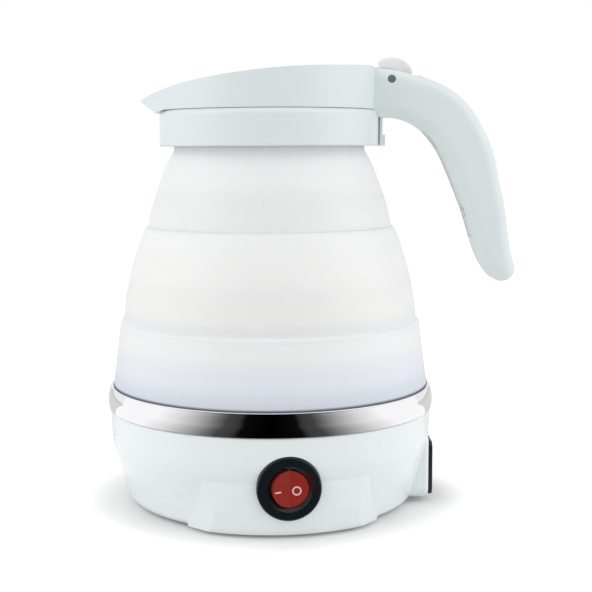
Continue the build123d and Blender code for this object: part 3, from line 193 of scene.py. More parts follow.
def noise_node(tree: Tree, place: Socket, scale: Any, detail: float = 2.0) -> Socket:
    """Give the value of a noise texture, whose scale is a number or a socket."""
    values = {"Vector": place, "Scale": scale, "Detail": detail}
    return add_node(tree, "ShaderNodeTexNoise", values).outputs["Fac"]


def bump_node(tree: Tree, height: Socket, distance: Socket, strength: float) -> Socket:
    """Give the normal bumped by a height from 0 to 1, which spans a distance in metres."""
    values = {"Height": height, "Distance": distance, "Strength": strength}
    return add_node(tree, "ShaderNodeBump", values).outputs["Normal"]


def map_node(
    tree: Tree, value: Socket, source: Span, target: Span = (0.0, 1.0), smooth: bool = False
) -> Socket:
    """Map one span of values onto another.

    Args:
        tree: The node tree.
        value: The socket of the value.
        source: The span mapped from.
        target: The span mapped to.
        smooth: True where the ends ease in and out.

    Returns:
        The socket of the result.
    """
    names = ("Value", "From Min", "From Max", "To Min", "To Max")
    values = dict(zip(names, (value, *source, *target)))
    easing = "SMOOTHSTEP" if smooth else "LINEAR"
    return add_node(tree, "ShaderNodeMapRange", values, interpolation_type=easing).outputs["Result"]


def mix_node(tree: Tree, values: dict, blend: str = "MIX") -> Socket:
    """Mix the colours A and B by a factor, or lay B over A in another way."""
    settings = {"data_type": "RGBA", "blend_type": blend}
    return add_node(tree, "ShaderNodeMix", values, **settings).outputs["Result"]


def ramp_node(tree: Tree, share: Socket, stops: Stops, easing: str) -> Socket:
    """Add a colour ramp.

    Args:
        tree: The node tree.
        share: The socket of the place on the ramp.
        stops: Places from 0 to 1, each with a linear colour.
        easing: How the colours run between the stops.

    Returns:
        The socket of the colour.
    """
    ramp = add_node(tree, "ShaderNodeValToRGB", {"Fac": share})
    ramp.color_ramp.interpolation = easing
    points = ramp.color_ramp.elements
    while len(points) < len(stops):
        points.new(0.5)
    for point, (place, colour) in zip(points, stops):
        point.position = place
        point.color = rgba(colour)
    return ramp.outputs["Color"]


def effect_node(tree: Tree, group: Tree, place: Socket, values: dict) -> Outputs:
    """Add an effect to a material, at object coordinates, and give its outputs."""
    inputs = {"Vector": place, **values}
    return add_node(tree, "ShaderNodeGroup", inputs, node_tree=group).outputs


def effect_group(
    name: str, values: dict[str, float], outputs: tuple[str, ...]
) -> tuple[Tree, Outputs, Node]:
    """Make an effect's node group, whose first input is coordinates.

    Args:
        name: The group's name.
        values: Defaults of its other inputs by name.
        outputs: Names of its outputs.

    Returns:
        The group, the sockets of its inputs and its output node.
    """
    group = bpy.data.node_groups.new(name, "ShaderNodeTree")
    add_socket = group.interface.new_socket
    add_socket(name="Vector", in_out="INPUT", socket_type="NodeSocketVector")
    for key, value in values.items():
        made = add_socket(name=key, in_out="INPUT", socket_type="NodeSocketFloat")
        made.default_value = value
    for key in outputs:
        kind = "NodeSocketVector" if key == "Normal" else "NodeSocketFloat"
        add_socket(name=key, in_out="OUTPUT", socket_type=kind)
    enter, leave = group.nodes.new("NodeGroupInput"), group.nodes.new("NodeGroupOutput")
    return group, enter.outputs, leave


def grain_group() -> Tree:
    """Make the effect of a fine moulded grain.

    Returns:
        A node group with a tone, a height and a bumped normal.
    """
    found = bpy.data.node_groups.get("moulded_grain")
    if found:
        return found
    group, enter, leave = effect_group(
        "moulded_grain",
        {"Fine scale": 2200.0, "Broad scale": 30.0, "Bump height": 0.00002},
        ("Tone", "Height", "Normal"),
    )
    fine = noise_node(group, enter["Vector"], enter["Fine scale"], 3.0)
    broad = noise_node(group, enter["Vector"], enter["Broad scale"])
    bumped = bump_node(group, fine, enter["Bump height"], 0.6)
    fill_inputs(group, leave, {"Tone": broad, "Height": fine, "Normal": bumped})
    return group


def edge_group() -> Tree:
    """Make the effect of edges rubbed by handling.

    Returns:
        A node group with a mask that rises towards worn edges.
    """
    found = bpy.data.node_groups.get("edge_wear")
    if found:
        return found
    group, enter, leave = effect_group("edge_wear", {"Width": 0.0008, "Amount": 0.3}, ("Mask",))
    bevel = add_node(group, "ShaderNodeBevel", {"Radius": enter["Width"]}, samples=4)
    normal = add_node(group, "ShaderNodeNewGeometry").outputs["Normal"]
    turn = vector_node(group, "DOT_PRODUCT", bevel.outputs["Normal"], normal)
    patches = noise_node(group, enter["Vector"], 260.0)
    broken = math_node(group, "MULTIPLY", map_node(group, turn, EDGE_SPAN), patches)
    mask = math_node(group, "MULTIPLY", broken, enter["Amount"], clamp=True)
    fill_inputs(group, leave, {"Mask": mask})
    return group


def dust_group() -> Tree:
    """Make the effect of a little dust on faces that look up.

    Returns:
        A node group with a mask that rises where dust lies.
    """
    found = bpy.data.node_groups.get("settled_dust")
    if found:
        return found
    group, enter, leave = effect_group("settled_dust", {"Amount": 0.1}, ("Mask",))
    normal = add_node(group, "ShaderNodeNewGeometry").outputs["Normal"]
    upward = map_node(group, split_node(group, normal)["Z"], UPWARD_SPAN)
    specks = noise_node(group, enter["Vector"], 420.0, 5.0)
    broken = math_node(group, "MULTIPLY", upward, specks)
    mask = math_node(group, "MULTIPLY", broken, enter["Amount"], clamp=True)
    fill_inputs(group, leave, {"Mask": mask})
    return group


def circling_group() -> Tree:
    """Make the effect of fine lines round the Z axis, as on turned steel.

    Returns:
        A node group with a tone and a bumped normal.
    """
    found = bpy.data.node_groups.get("turned_lines")
    if found:
        return found
    group, enter, leave = effect_group(
        "turned_lines", {"Lines per metre": 9000.0, "Bump height": 0.000003}, ("Tone", "Normal")
    )
    split = split_node(group, enter["Vector"])
    flat = add_node(group, "ShaderNodeCombineXYZ", {"X": split["X"], "Y": split["Y"]})
    reach = vector_node(group, "LENGTH", flat.outputs["Vector"])
    joined = add_node(group, "ShaderNodeCombineXYZ", {"X": reach, "Z": split["Z"]})
    lines = noise_node(group, joined.outputs["Vector"], enter["Lines per metre"])
    bumped = bump_node(group, lines, enter["Bump height"], 0.4)
    fill_inputs(group, leave, {"Tone": lines, "Normal": bumped})
    return group


def node_material(name: str, values: dict) -> tuple[Material, Tree, Node]:
    """Make a material with a Principled surface.

    Args:
        name: The material's name.
        values: Values of the surface's inputs.

    Returns:
        The material, its node tree and its surface node.
    """
    material = bpy.data.materials.new(name)
    material.use_nodes = True
    surface = material.node_tree.nodes["Principled BSDF"]
    fill_inputs(material.node_tree, surface, values)
    return material, material.node_tree, surface


@dataclass(frozen=True)
class Finish:
    """A surface finish of moulded or formed material.

    Attributes:
        name: The material's name.
        colour: Linear base colour.
        roughness: Mean roughness.
        worn: Linear colour where edges are rubbed.
        metallic: Metalness.
        coat: Weight of a clear coat.
        specular: Specular level of the base.
        subsurface: Weight of light scattered inside.
        scatter: Scattering distance.
        transmission: Weight of light passed through.
        fine_scale: Grain cells per metre.
        grain_height: Height of the grain.
        variation: How far the tone drifts over the surface.
        wear: Amount of edge wear.
        dust: Amount of settled dust.
    """

    name: str
    colour: Colour
    roughness: float
    worn: Colour = (0.9, 0.9, 0.9)
    metallic: float = 0.0
    coat: float = 0.0
    specular: float = 0.5
    subsurface: float = 0.0
    scatter: float = 2.0
    transmission: float = 0.0
    fine_scale: float = 2200.0
    grain_height: float = 0.01
    variation: float = 0.03
    wear: float = 0.2
    dust: float = 0.05

    def build(self) -> Material:
        """Build the material.

        Returns:
            The finished material.
        """
        material, tree, surface = node_material(
            self.name,
            {
                "Metallic": self.metallic,
                "Coat Weight": self.coat,
                "Coat Roughness": COAT_ROUGHNESS,
                "Specular IOR Level": self.specular,
                "Subsurface Weight": self.subsurface,
                "Subsurface Scale": self.scatter * MM,
                "Subsurface Radius": SCATTER_COLOUR,
                "Transmission Weight": self.transmission,
            },
        )
        place = object_place(tree)
        colour = self.tone(tree, place, surface)
        fill_inputs(tree, surface, {"Base Color": self.rub(tree, place, colour)})
        return material

    def base_colour(self, tree: Tree, place: Socket) -> Socket:
        """Give the colour before wear and dust, here the same everywhere.

        Args:
            tree: The material's node tree.
            place: The socket of object coordinates, not used here.

        Returns:
            A colour socket.
        """
        plain = add_node(tree, "ShaderNodeRGB")
        plain.outputs[0].default_value = rgba(self.colour)
        return plain.outputs[0]

    def tone(self, tree: Tree, place: Socket, surface: Node) -> Socket:
        """Add the grain and the slow drift of tone.

        Args:
            tree: The material's node tree.
            place: The socket of object coordinates.
            surface: The Principled node.

        Returns:
            A colour socket.
        """
        values = {"Fine scale": self.fine_scale, "Bump height": self.grain_height * MM}
        grain = effect_node(tree, grain_group(), place, values)
        low, high = GRAIN_GLOSS
        ends = (self.roughness * low, min(1.0, self.roughness * high))
        gloss = map_node(tree, grain["Height"], NOISE_SPAN, ends)
        fill_inputs(tree, surface, {"Roughness": gloss, "Normal": grain["Normal"]})
        drift = map_node(tree, grain["Tone"], NOISE_SPAN, (1.0 - self.variation, 1.0))
        plain = self.base_colour(tree, place)
        return mix_node(tree, {"Factor": 1.0, "A": plain, "B": drift}, "MULTIPLY")

    def rub(self, tree: Tree, place: Socket, colour: Socket) -> Socket:
        """Lay edge wear and dust over the colour.

        Args:
            tree: The material's node tree.
            place: The socket of object coordinates.
            colour: The colour socket to lay them over.

        Returns:
            A colour socket.
        """
        for group, amount, layer in (
            (edge_group(), self.wear, self.worn),
            (dust_group(), self.dust, DUST_COLOUR),
        ):
            mask = effect_node(tree, group, place, {"Amount": amount})["Mask"]
            colour = mix_node(tree, {"Factor": mask, "A": colour, "B": rgba(layer)})
        return colour


@dataclass(frozen=True)
class TintAndShadeBandFinish(Finish):
    """A finish whose colour changes with height: partly the tint of what shows through clear
    silicone, partly painted shade and painted light.

    Attributes:
        stops: Heights, each with a linear colour, of tint, painted shade and painted light.
    """

    stops: tuple[tuple[float, Colour], ...] = ()

    def base_colour(self, tree: Tree, place: Socket) -> Socket:
        """Give the colour at each height, with its painted shade and painted light.

        Args:
            tree: The material's node tree.
            place: The socket of object coordinates.

        Returns:
            A colour socket.
        """
        low, high = self.stops[0][0], self.stops[-1][0]
        shares = [((height - low) / (high - low), colour) for height, colour in self.stops]
        level = map_node(tree, split_node(tree, place)["Z"], (low * MM, high * MM))
        return ramp_node(tree, level, shares, "EASE")


@dataclass(frozen=True)
class PaintedLightFinish(Finish):
    """A dark finish with painted light: a colour mixed in round a point, in place of the light that
    something bright beside it throws.

    Attributes:
        painted_light: Linear colour of the painted light.
        centre: Centre of the painted light.
        reach: Distance over which it fades.
    """

    painted_light: Colour = (0.1, 0.01, 0.01)
    centre: Place = (0.0, 0.0, 0.0)
    reach: float = 5.0

    def base_colour(self, tree: Tree, place: Socket) -> Socket:
        """Mix the painted light into the colour by distance.

        Args:
            tree: The material's node tree.
            place: The socket of object coordinates.

        Returns:
            A colour socket.
        """
        away = vector_node(tree, "DISTANCE", place, tuple(value * MM for value in self.centre))
        span = (self.reach * MM, self.reach * PAINTED_LIGHT_CORE_SHARE * MM)
        fade = map_node(tree, away, span, smooth=True)
        return mix_node(tree, {"Factor": fade, "A": rgba(self.colour), "B": rgba(self.painted_light)})


@dataclass(frozen=True)
class TurnedFinish(Finish):
    """A metal finish with fine lines that run round the kettle's axis.

    Attributes:
        lines: Lines per metre.
    """

    lines: float = 9000.0

    def tone(self, tree: Tree, place: Socket, surface: Node) -> Socket:
        """Add the turned lines.

        Args:
            tree: The material's node tree.
            place: The socket of object coordinates.
            surface: The Principled node.

        Returns:
            A colour socket.
        """
        values = {"Lines per metre": self.lines, "Bump height": self.grain_height * MM}
        turned = effect_node(tree, circling_group(), place, values)
        low, high = LINES_GLOSS
        ends = (self.roughness * low, self.roughness * high)
        gloss = map_node(tree, turned["Tone"], NOISE_SPAN, ends)
        fill_inputs(tree, surface, {"Roughness": gloss, "Normal": turned["Normal"]})
        return self.base_colour(tree, place)


def arc_points(a: Point2, b: Point2, c: Point2, count: int) -> list[Point2]:
    """Sample the circular arc through three points.

    Args:
        a: The first point.
        b: A point between.
        c: The last point.
        count: How many points to give.

    Returns:
        Points from a to c.
    """
    (ax, ay), (bx, by), (cx, cy) = a, b, c
    a2, b2, c2 = ax**2 + ay**2, bx**2 + by**2, cx**2 + cy**2
    d = 2 * (ax * (by - cy) + bx * (cy - ay) + cx * (ay - by))
    ux = (a2 * (by - cy) + b2 * (cy - ay) + c2 * (ay - by)) / d
    uy = (a2 * (cx - bx) + b2 * (ax - cx) + c2 * (bx - ax)) / d
    radius = math.hypot(ax - ux, ay - uy)
    start, end = math.atan2(ay - uy, ax - ux), math.atan2(cy - uy, cx - ux)
    turns = [start + (end - start) * i / (count - 1) for i in range(count)]
    return [(ux + radius * math.cos(t), uy + radius * math.sin(t)) for t in turns]


def corner(centre: Point2, radius: float, start: float, end: float, count: int) -> list[Point2]:
    """Sample a rounded corner from one angle to another, both in degrees."""
    turns = [math.radians(start + (end - start) * i / (count - 1)) for i in range(count)]
    return [(centre[0] + radius * math.cos(t), centre[1] + radius * math.sin(t)) for t in turns]


def smoothstep(value: float, low: float, high: float) -> float:
    """Rise smoothly from 0 at the height low to 1 at the height high."""
    t = min(1.0, max(0.0, (value - low) / (high - low)))
    return t * t * (3 - 2 * t)


def put(name: str, data: bpy.types.ID) -> Thing:
    """Put an object into the scene.

    Args:
        name: The object's name.
        data: Its mesh, light or camera.

    Returns:
        The object.
    """
    made = bpy.data.objects.new(name, data)
    bpy.context.scene.collection.objects.link(made)
    return made


def mesh_object(name: str, mesh: bpy.types.Mesh, material: Material) -> Thing:
    """Put a finished mesh into the scene.

    Args:
        name: The object's name.
        mesh: Its mesh.
        material: Its material.

    Returns:
        The object.
    """
    made = put(name, mesh)
    made.data.materials.append(material)
    return made


def close_shape(shape: bmesh.types.BMesh, name: str) -> bpy.types.Mesh:
    """Turn a shape that is done into a mesh.

    Args:
        shape: The shape, which is freed.
        name: The mesh's name.

    Returns:
        The mesh.
    """
    mesh = bpy.data.meshes.new(name)
    shape.to_mesh(mesh)
    shape.free()
    return mesh


def lathe(name: str, profile: list[Point2], material: Material, sides: int = 256) -> Thing:
    """Turn a closed profile of radii and heights round the Z axis.

    Args:
        name: The object's name.
        profile: Its points, outer side upward, inner side downward.
        material: Its material.
        sides: Steps round the axis.

    Returns:
        The object.
    """
    shape = bmesh.new()
    rings = []
    for step in range(sides):
        turn = 2 * math.pi * step / sides
        rings.append(
            [
                shape.verts.new((r * MM * math.cos(turn), r * MM * math.sin(turn), z * MM))
                for r, z in profile
            ]
        )
    count = len(profile)
    for step in range(sides):
        here, there = rings[step], rings[(step + 1) % sides]
        for i in range(count):
            j = (i + 1) % count
            shape.faces.new((here[i], there[i], there[j], here[j]))
    bmesh.ops.recalc_face_normals(shape, faces=shape.faces)
    mesh = close_shape(shape, name)
    mesh.shade_smooth()
    mesh.set_sharp_from_angle(angle=math.radians(SHARP_ANGLE))
    return mesh_object(name, mesh, material)


@dataclass
class SiliconeBody:
    """The silicone wall: bands and thin folds as two turned walls.

    Attributes:
        material: The silicone.
        band_wall: Wall of the stiff bands.
        fold_wall: Wall of the thin folds.
        fades: Heights over which the wall thins into a fold and thickens out of it.
        ledge: Height of the lower step, where the lower fold starts.
        fold_top: Height where the lower fold ends.
        step: Height of the upper step, where the upper fold starts.
        upper_fold_top: Height where the upper fold ends.
        foot_outer: Outer side of the foot, up to its seal lip.
        side_start: Where the lower band's straight side starts.
        side_run: How far that side runs inward and up.
        side_parts: Parts that it is cut into.
        lip: Rounded top of the lower band.
        hollow: Hollow corner between that top and the belly.
        belly: The arc over the lower fold and the middle band.
        belly_span: Heights that it is used between.
        crest: Rounded top of the middle band.
        crest_inner: Radius where that top ends.
        ledge_inner: Radius where the ledge ends inside.
        foot_inner: Inner side of the foot, downward.
        shoulder_foot: The upper wall's rounded foot.
        shoulder: The arc over the upper fold and the neck.
        shoulder_low: Height from which it is used.
        neck: The upright neck, the bead inside the collar and the bore, downward again.
    """

    material: Material
    band_wall: float = 2.3
    fold_wall: float = 1.1
    fades: Span = (1.0, 2.0)
    ledge: float = 71.4
    fold_top: float = 89.0
    step: float = 107.4
    upper_fold_top: float = 122.2
    foot_outer: tuple[Point2, ...] = ((60.2, 38.4), (60.2, 44.9), (61.4, 44.9), (61.42, 46.4))
    side_start: Point2 = (61.4, 46.5)
    side_run: Point2 = (2.95, 23.0)
    side_parts: int = 16
    lip: Corner = ((57.15, 69.95), 1.25, 5, 55, 7)
    hollow: Corner = ((58.2, 72.0), 1.1, 250, 185, 8)
    belly: Arc = ((57.1, 71.5), (54.6, 88.0), (48.3, 106.9), 60)
    belly_span: Span = (72.3, 106.4)
    crest: Corner = ((47.35, 106.35), 0.95, 18, 86, 8)
    crest_inner: float = 46.0
    ledge_inner: float = 56.0
    foot_inner: tuple[Point2, ...] = ((57.4, 47.5), (57.4, 43.9), (58.6, 43.9), (58.6, 38.4))
    shoulder_foot: tuple[Point2, ...] = (
        (47.8, 107.2), (47.58, 107.29), (47.42, 107.45), (47.32, 107.75),
    )
    shoulder: Arc = ((47.3, 107.6), (43.9, 120.3), (36.8, 136.3), 48)
    shoulder_low: float = 108.0
    neck: tuple[Point2, ...] = (
        (36.8, 139.0), (36.8, 141.7), (39.3, 141.7), (39.3, 144.6), (34.6, 144.6), (34.6, 138.0),
    )

    def inner(self, outer: list[Point2], fold_low: float, fold_high: float) -> list[Point2]:
        """Offset an outer line inward by the local wall.

        Args:
            outer: Points of the outer line.
            fold_low: Height where the thin fold starts.
            fold_high: Height where it ends.

        Returns:
            The inner line, from top to bottom.
        """
        thinner = self.band_wall - self.fold_wall
        fade_in, fade_out = self.fades
        line = []
        for radius, height in reversed(outer):
            rise = smoothstep(height, fold_low - fade_in, fold_low)
            fall = smoothstep(height, fold_high - fade_out, fold_high)
            line.append((radius - self.band_wall + thinner * (rise * (1 - fall)), height))
        return line

    def lower_wall(self) -> None:
        """Build the wall from the steel ring to the upper step."""
        (radius, height), (inward, upward) = self.side_start, self.side_run
        shares = [i / self.side_parts for i in range(1, self.side_parts)]
        low, high = self.belly_span
        belly = [p for p in arc_points(*self.belly) if low < p[1] < high]
        profile = [
            *self.foot_outer,
            *[(radius - inward * t, height + upward * t) for t in shares],
            *corner(*self.lip),
            *corner(*self.hollow),
            *belly,
            *corner(*self.crest),
            (self.crest_inner, self.step),
            *self.inner(belly, self.ledge, self.fold_top),
            (self.ledge_inner, self.ledge),
            *self.foot_inner,
        ]
        wall = lathe("silicone_wall_lower", profile, self.material)
        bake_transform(wall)
        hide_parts("silicone_lower_band", "silicone_lower_fold", "silicone_middle_band")

    def upper_wall(self) -> None:
        """Build the wall from the upper step to the bead inside the collar."""
        arc = arc_points(*self.shoulder)
        outer = [*self.shoulder_foot, *[p for p in arc if p[1] > self.shoulder_low]]
        inner = self.inner(outer, self.step, self.upper_fold_top)
        profile = [*outer, *self.neck, *inner]
        wall = lathe("silicone_wall_upper", profile, self.material)
        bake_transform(wall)
        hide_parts("silicone_upper_fold", "silicone_neck_band")

    def build(self) -> None:
        """Build both walls."""
        self.lower_wall()
        self.upper_wall()
        LOG.info("silicone body built")


@dataclass
class SteelRing:
    """The polished ring between the base and the silicone.

    Attributes:
        material: The polished steel.
        face: The arc of its outer face.
        lip: Its rolled upper lip.
        back: Its inner side, downward.
    """

    material: Material
    face: Arc = ((63.4, 37.45), (63.7, 40.0), (62.45, 45.5), 24)
    lip: Corner = ((62.1, 45.55), 0.45, 10, 95, 8)
    back: tuple[Point2, ...] = (
        (61.65, 45.95), (61.65, 45.3), (62.15, 45.3), (62.15, 37.4), (63.2, 37.4),
    )

    def build(self) -> None:
        """Build the ring with its rolled upper lip."""
        profile = [*arc_points(*self.face), *corner(*self.lip), *self.back]
        ring = lathe("steel_ring", profile, self.material)
        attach(ring, Body.BASE.value)
        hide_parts("trim_ring")
        LOG.info("steel ring built")


@dataclass
class FootTread:
    """The small ribs round the rubber foot's flank.

    Attributes:
        material: The foot's rubber.
        count: How many ribs there are.
        reach: Radius of the circle that they stand on.
        height: Height of their middle.
        size: A rib's size outward, round the circle and upward.
    """

    material: Material
    count: int = 72
    reach: float = 42.05
    height: float = 0.65
    size: Place = (0.5, 0.9, 0.7)

    def group(self) -> tuple[Tree, str]:
        """Build the node group that sets the ribs round a circle.

        Returns:
            The group and the identifier of its material input.
        """
        tree = bpy.data.node_groups.new("rib_circle", "GeometryNodeTree")
        add_socket = tree.interface.new_socket
        for name, kind, value in (
            ("Geometry", "NodeSocketGeometry", None),
            ("Count", "NodeSocketInt", self.count),
            ("Reach", "NodeSocketFloat", self.reach * MM),
            ("Height", "NodeSocketVector", (0.0, 0.0, self.height * MM)),
            ("Rib size", "NodeSocketVector", tuple(value * MM for value in self.size)),
        ):
            made = add_socket(name=name, in_out="INPUT", socket_type=kind)
            if value is not None:
                made.default_value = value
        coating = add_socket(name="Material", in_out="INPUT", socket_type="NodeSocketMaterial")
        add_socket(name="Geometry", in_out="OUTPUT", socket_type="NodeSocketGeometry")
        enter = tree.nodes.new("NodeGroupInput").outputs
        circle = add_node(
            tree, "GeometryNodeMeshCircle", {"Vertices": enter["Count"], "Radius": enter["Reach"]}
        )
        rib = add_node(tree, "GeometryNodeMeshCube", {"Size": enter["Rib size"]})
        outward = {"Vector": add_node(tree, "GeometryNodeInputPosition").outputs["Position"]}
        turn = add_node(tree, "FunctionNodeAlignRotationToVector", outward, axis="X")
        spread = add_node(
            tree,
            "GeometryNodeInstanceOnPoints",
            {
                "Points": circle.outputs["Mesh"],
                "Instance": rib.outputs["Mesh"],
                "Rotation": turn.outputs["Rotation"],
            },
        )
        step = spread.outputs["Instances"]
        for kind, values in (
            ("GeometryNodeTransform", {"Translation": enter["Height"]}),
            ("GeometryNodeRealizeInstances", {}),
            ("GeometryNodeSetMaterial", {"Material": enter["Material"]}),
        ):
            step = add_node(tree, kind, {"Geometry": step, **values}).outputs["Geometry"]
        fill_inputs(tree, tree.nodes.new("NodeGroupOutput"), {"Geometry": step})
        return tree, coating.identifier

    def build(self) -> None:
        """Build the ribs and apply their nodes."""
        carrier = mesh_object("tread_carrier", bpy.data.meshes.new("tread_carrier"), self.material)
        nodes = carrier.modifiers.new("ribs", "NODES")
        nodes.node_group, coating = self.group()
        nodes[coating] = self.material
        graph = bpy.context.evaluated_depsgraph_get()
        mesh = bpy.data.meshes.new_from_object(carrier.evaluated_get(graph))
        carrier.modifiers.remove(nodes)
        bpy.data.objects.remove(carrier)
        mesh.name = "foot_tread"
        mesh.materials.clear()
        tread = mesh_object("foot_tread", mesh, self.material)
        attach(tread, Body.BASE.value)
        LOG.info("foot tread built")


@dataclass
class SwitchMarks:
    """The line and the circle printed on the rocker.

    Attributes:
        material: The print.
        azimuth: Direction that the switch faces, in degrees.
        pivot_reach: Distance of the rocker's pivot from the kettle's axis.
        height: Height of the pivot.
        tilt: The rocker's turn at rest, in degrees.
        rise: Height of the rocker's face above the pivot, at its middle.
        slope: Slope of its two halves, in degrees.
        proud: Half the print's thickness.
        line_half: Half the line's length.
        line_round: Radius of its ends.
        line_count: Points on each end.
        circle_radii: Outer and inner radius of the circle.
        circle_count: Points round it.
        centres: Where each mark stands on the face.
    """

    material: Material
    azimuth: float = -84.0
    pivot_reach: float = 61.1
    height: float = 19.0
    tilt: float = 10.0
    rise: float = 1.2
    slope: float = 10.0
    proud: float = 0.04
    line_half: float = 1.25
    line_round: float = 0.27
    line_count: int = 9
    circle_radii: Span = (1.65, 1.12)
    circle_count: int = 48
    centres: dict[Mark, Point2] = field(
        default_factory=lambda: {Mark.LINE: (-4.5, -0.7), Mark.CIRCLE: (2.4, -0.7)}
    )

    def matrix(self) -> Matrix:
        """Give the rocker's own frame at rest.

        Returns:
            A matrix from the rocker's millimetres to the kettle's.
        """
        angle = math.radians(self.azimuth)
        out = Vector((math.cos(angle), math.sin(angle), 0))
        centre = out * self.pivot_reach
        centre.z = self.height
        right = Vector((-out.y, out.x, 0))
        up = Vector((0, 0, 1))
        turned = Matrix.Rotation(math.radians(self.tilt), 3, up)
        frame = Matrix((turned @ right, up, turned @ out)).transposed().to_4x4()
        return Matrix.Translation(centre) @ frame

    def outlines(self, mark: Mark) -> list[list[Point2]]:
        """Give a mark's closed outlines about its centre.

        Args:
            mark: Which mark.

        Returns:
            The outer outline, and the inner one of a mark that has a hole.
        """
        if mark is Mark.LINE:
            reach = self.line_half - self.line_round
            right = corner((reach, 0), self.line_round, -90, 90, self.line_count)
            left = corner((-reach, 0), self.line_round, 90, 270, self.line_count)
            return [right + left]
        last = 360 - 360 / self.circle_count
        return [corner((0, 0), radius, 0, last, self.circle_count) for radius in self.circle_radii]

    def lift(self, point: Point2, centre: Point2, extra: float) -> Vector:
        """Put a point of a mark on the rocker's sloping face.

        Args:
            point: The point about the mark's centre.
            centre: The mark's centre on the face.
            extra: How far above the face.

        Returns:
            The point in metres in the kettle's frame.
        """
        across, up = point[0] + centre[0], point[1] + centre[1]
        level = self.rise + abs(across) * math.tan(math.radians(self.slope)) + extra
        return (self.matrix() @ Vector((across, up, level))) * MM

    def print_mark(self, mark: Mark, centre: Point2) -> None:
        """Build one mark as a thin closed print.

        Args:
            mark: Which mark.
            centre: Its centre on the face.
        """
        shape = bmesh.new()
        loops = []
        for points in self.outlines(mark):
            low = [shape.verts.new(self.lift(p, centre, -self.proud)) for p in points]
            high = [shape.verts.new(self.lift(p, centre, self.proud)) for p in points]
            loops.append((low, high))
        solid = len(loops) == 1
        walls = loops if solid else loops + list(zip(*loops))
        for here, there in walls:
            for i in range(len(here)):
                j = (i + 1) % len(here)
                shape.faces.new((here[i], here[j], there[j], there[i]))
        for cap in loops[0] if solid else ():
            shape.faces.new(cap)
        bmesh.ops.recalc_face_normals(shape, faces=shape.faces)
        name = f"mark_{mark.value}"
        print_piece = mesh_object(name, close_shape(shape, name), self.material)
        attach(print_piece, Body.ROCKER.value)

    def build(self) -> None:
        """Build both marks."""
        for mark, centre in self.centres.items():
            self.print_mark(mark, centre)
        LOG.info("switch marks built")


@dataclass
class FramePaint:
    """The finishes of the pieces that keep their own form.

    Attributes:
        nodes: The frame's pieces by name.
        finishes: Materials by piece name.
    """

    nodes: dict[str, Thing]
    finishes: dict[str, Material]

    def build(self) -> None:
        """Give each of these pieces its finish."""
        for name, material in self.finishes.items():
            piece = self.nodes[name]
            for place in piece.material_slots:
                place.material = material
            if not piece.material_slots:
                piece.data.materials.append(material)
        LOG.info("painted %d pieces", len(self.finishes))


@dataclass(frozen=True)
class Softbox:
    """A square soft light that looks at the kettle.

    Attributes:
        name: The light's name.
        place: Where it hangs, in metres.
        size: Its edge in metres.
        power: Its power in watts.
    """

    name: str
    place: Place
    size: float
    power: float

    def build(self, target: Place) -> None:
        """Hang the light.

        Args:
            target: The point that it looks at, in metres.
        """
        lamp = bpy.data.lights.new(self.name, "AREA")
        lamp.shape = "SQUARE"
        lamp.size = self.size
        lamp.energy = self.power
        made = put(self.name, lamp)
        made.location = self.place
        aim = Vector(target) - Vector(self.place)
        made.rotation_euler = aim.to_track_quat("-Z", "Y").to_euler()


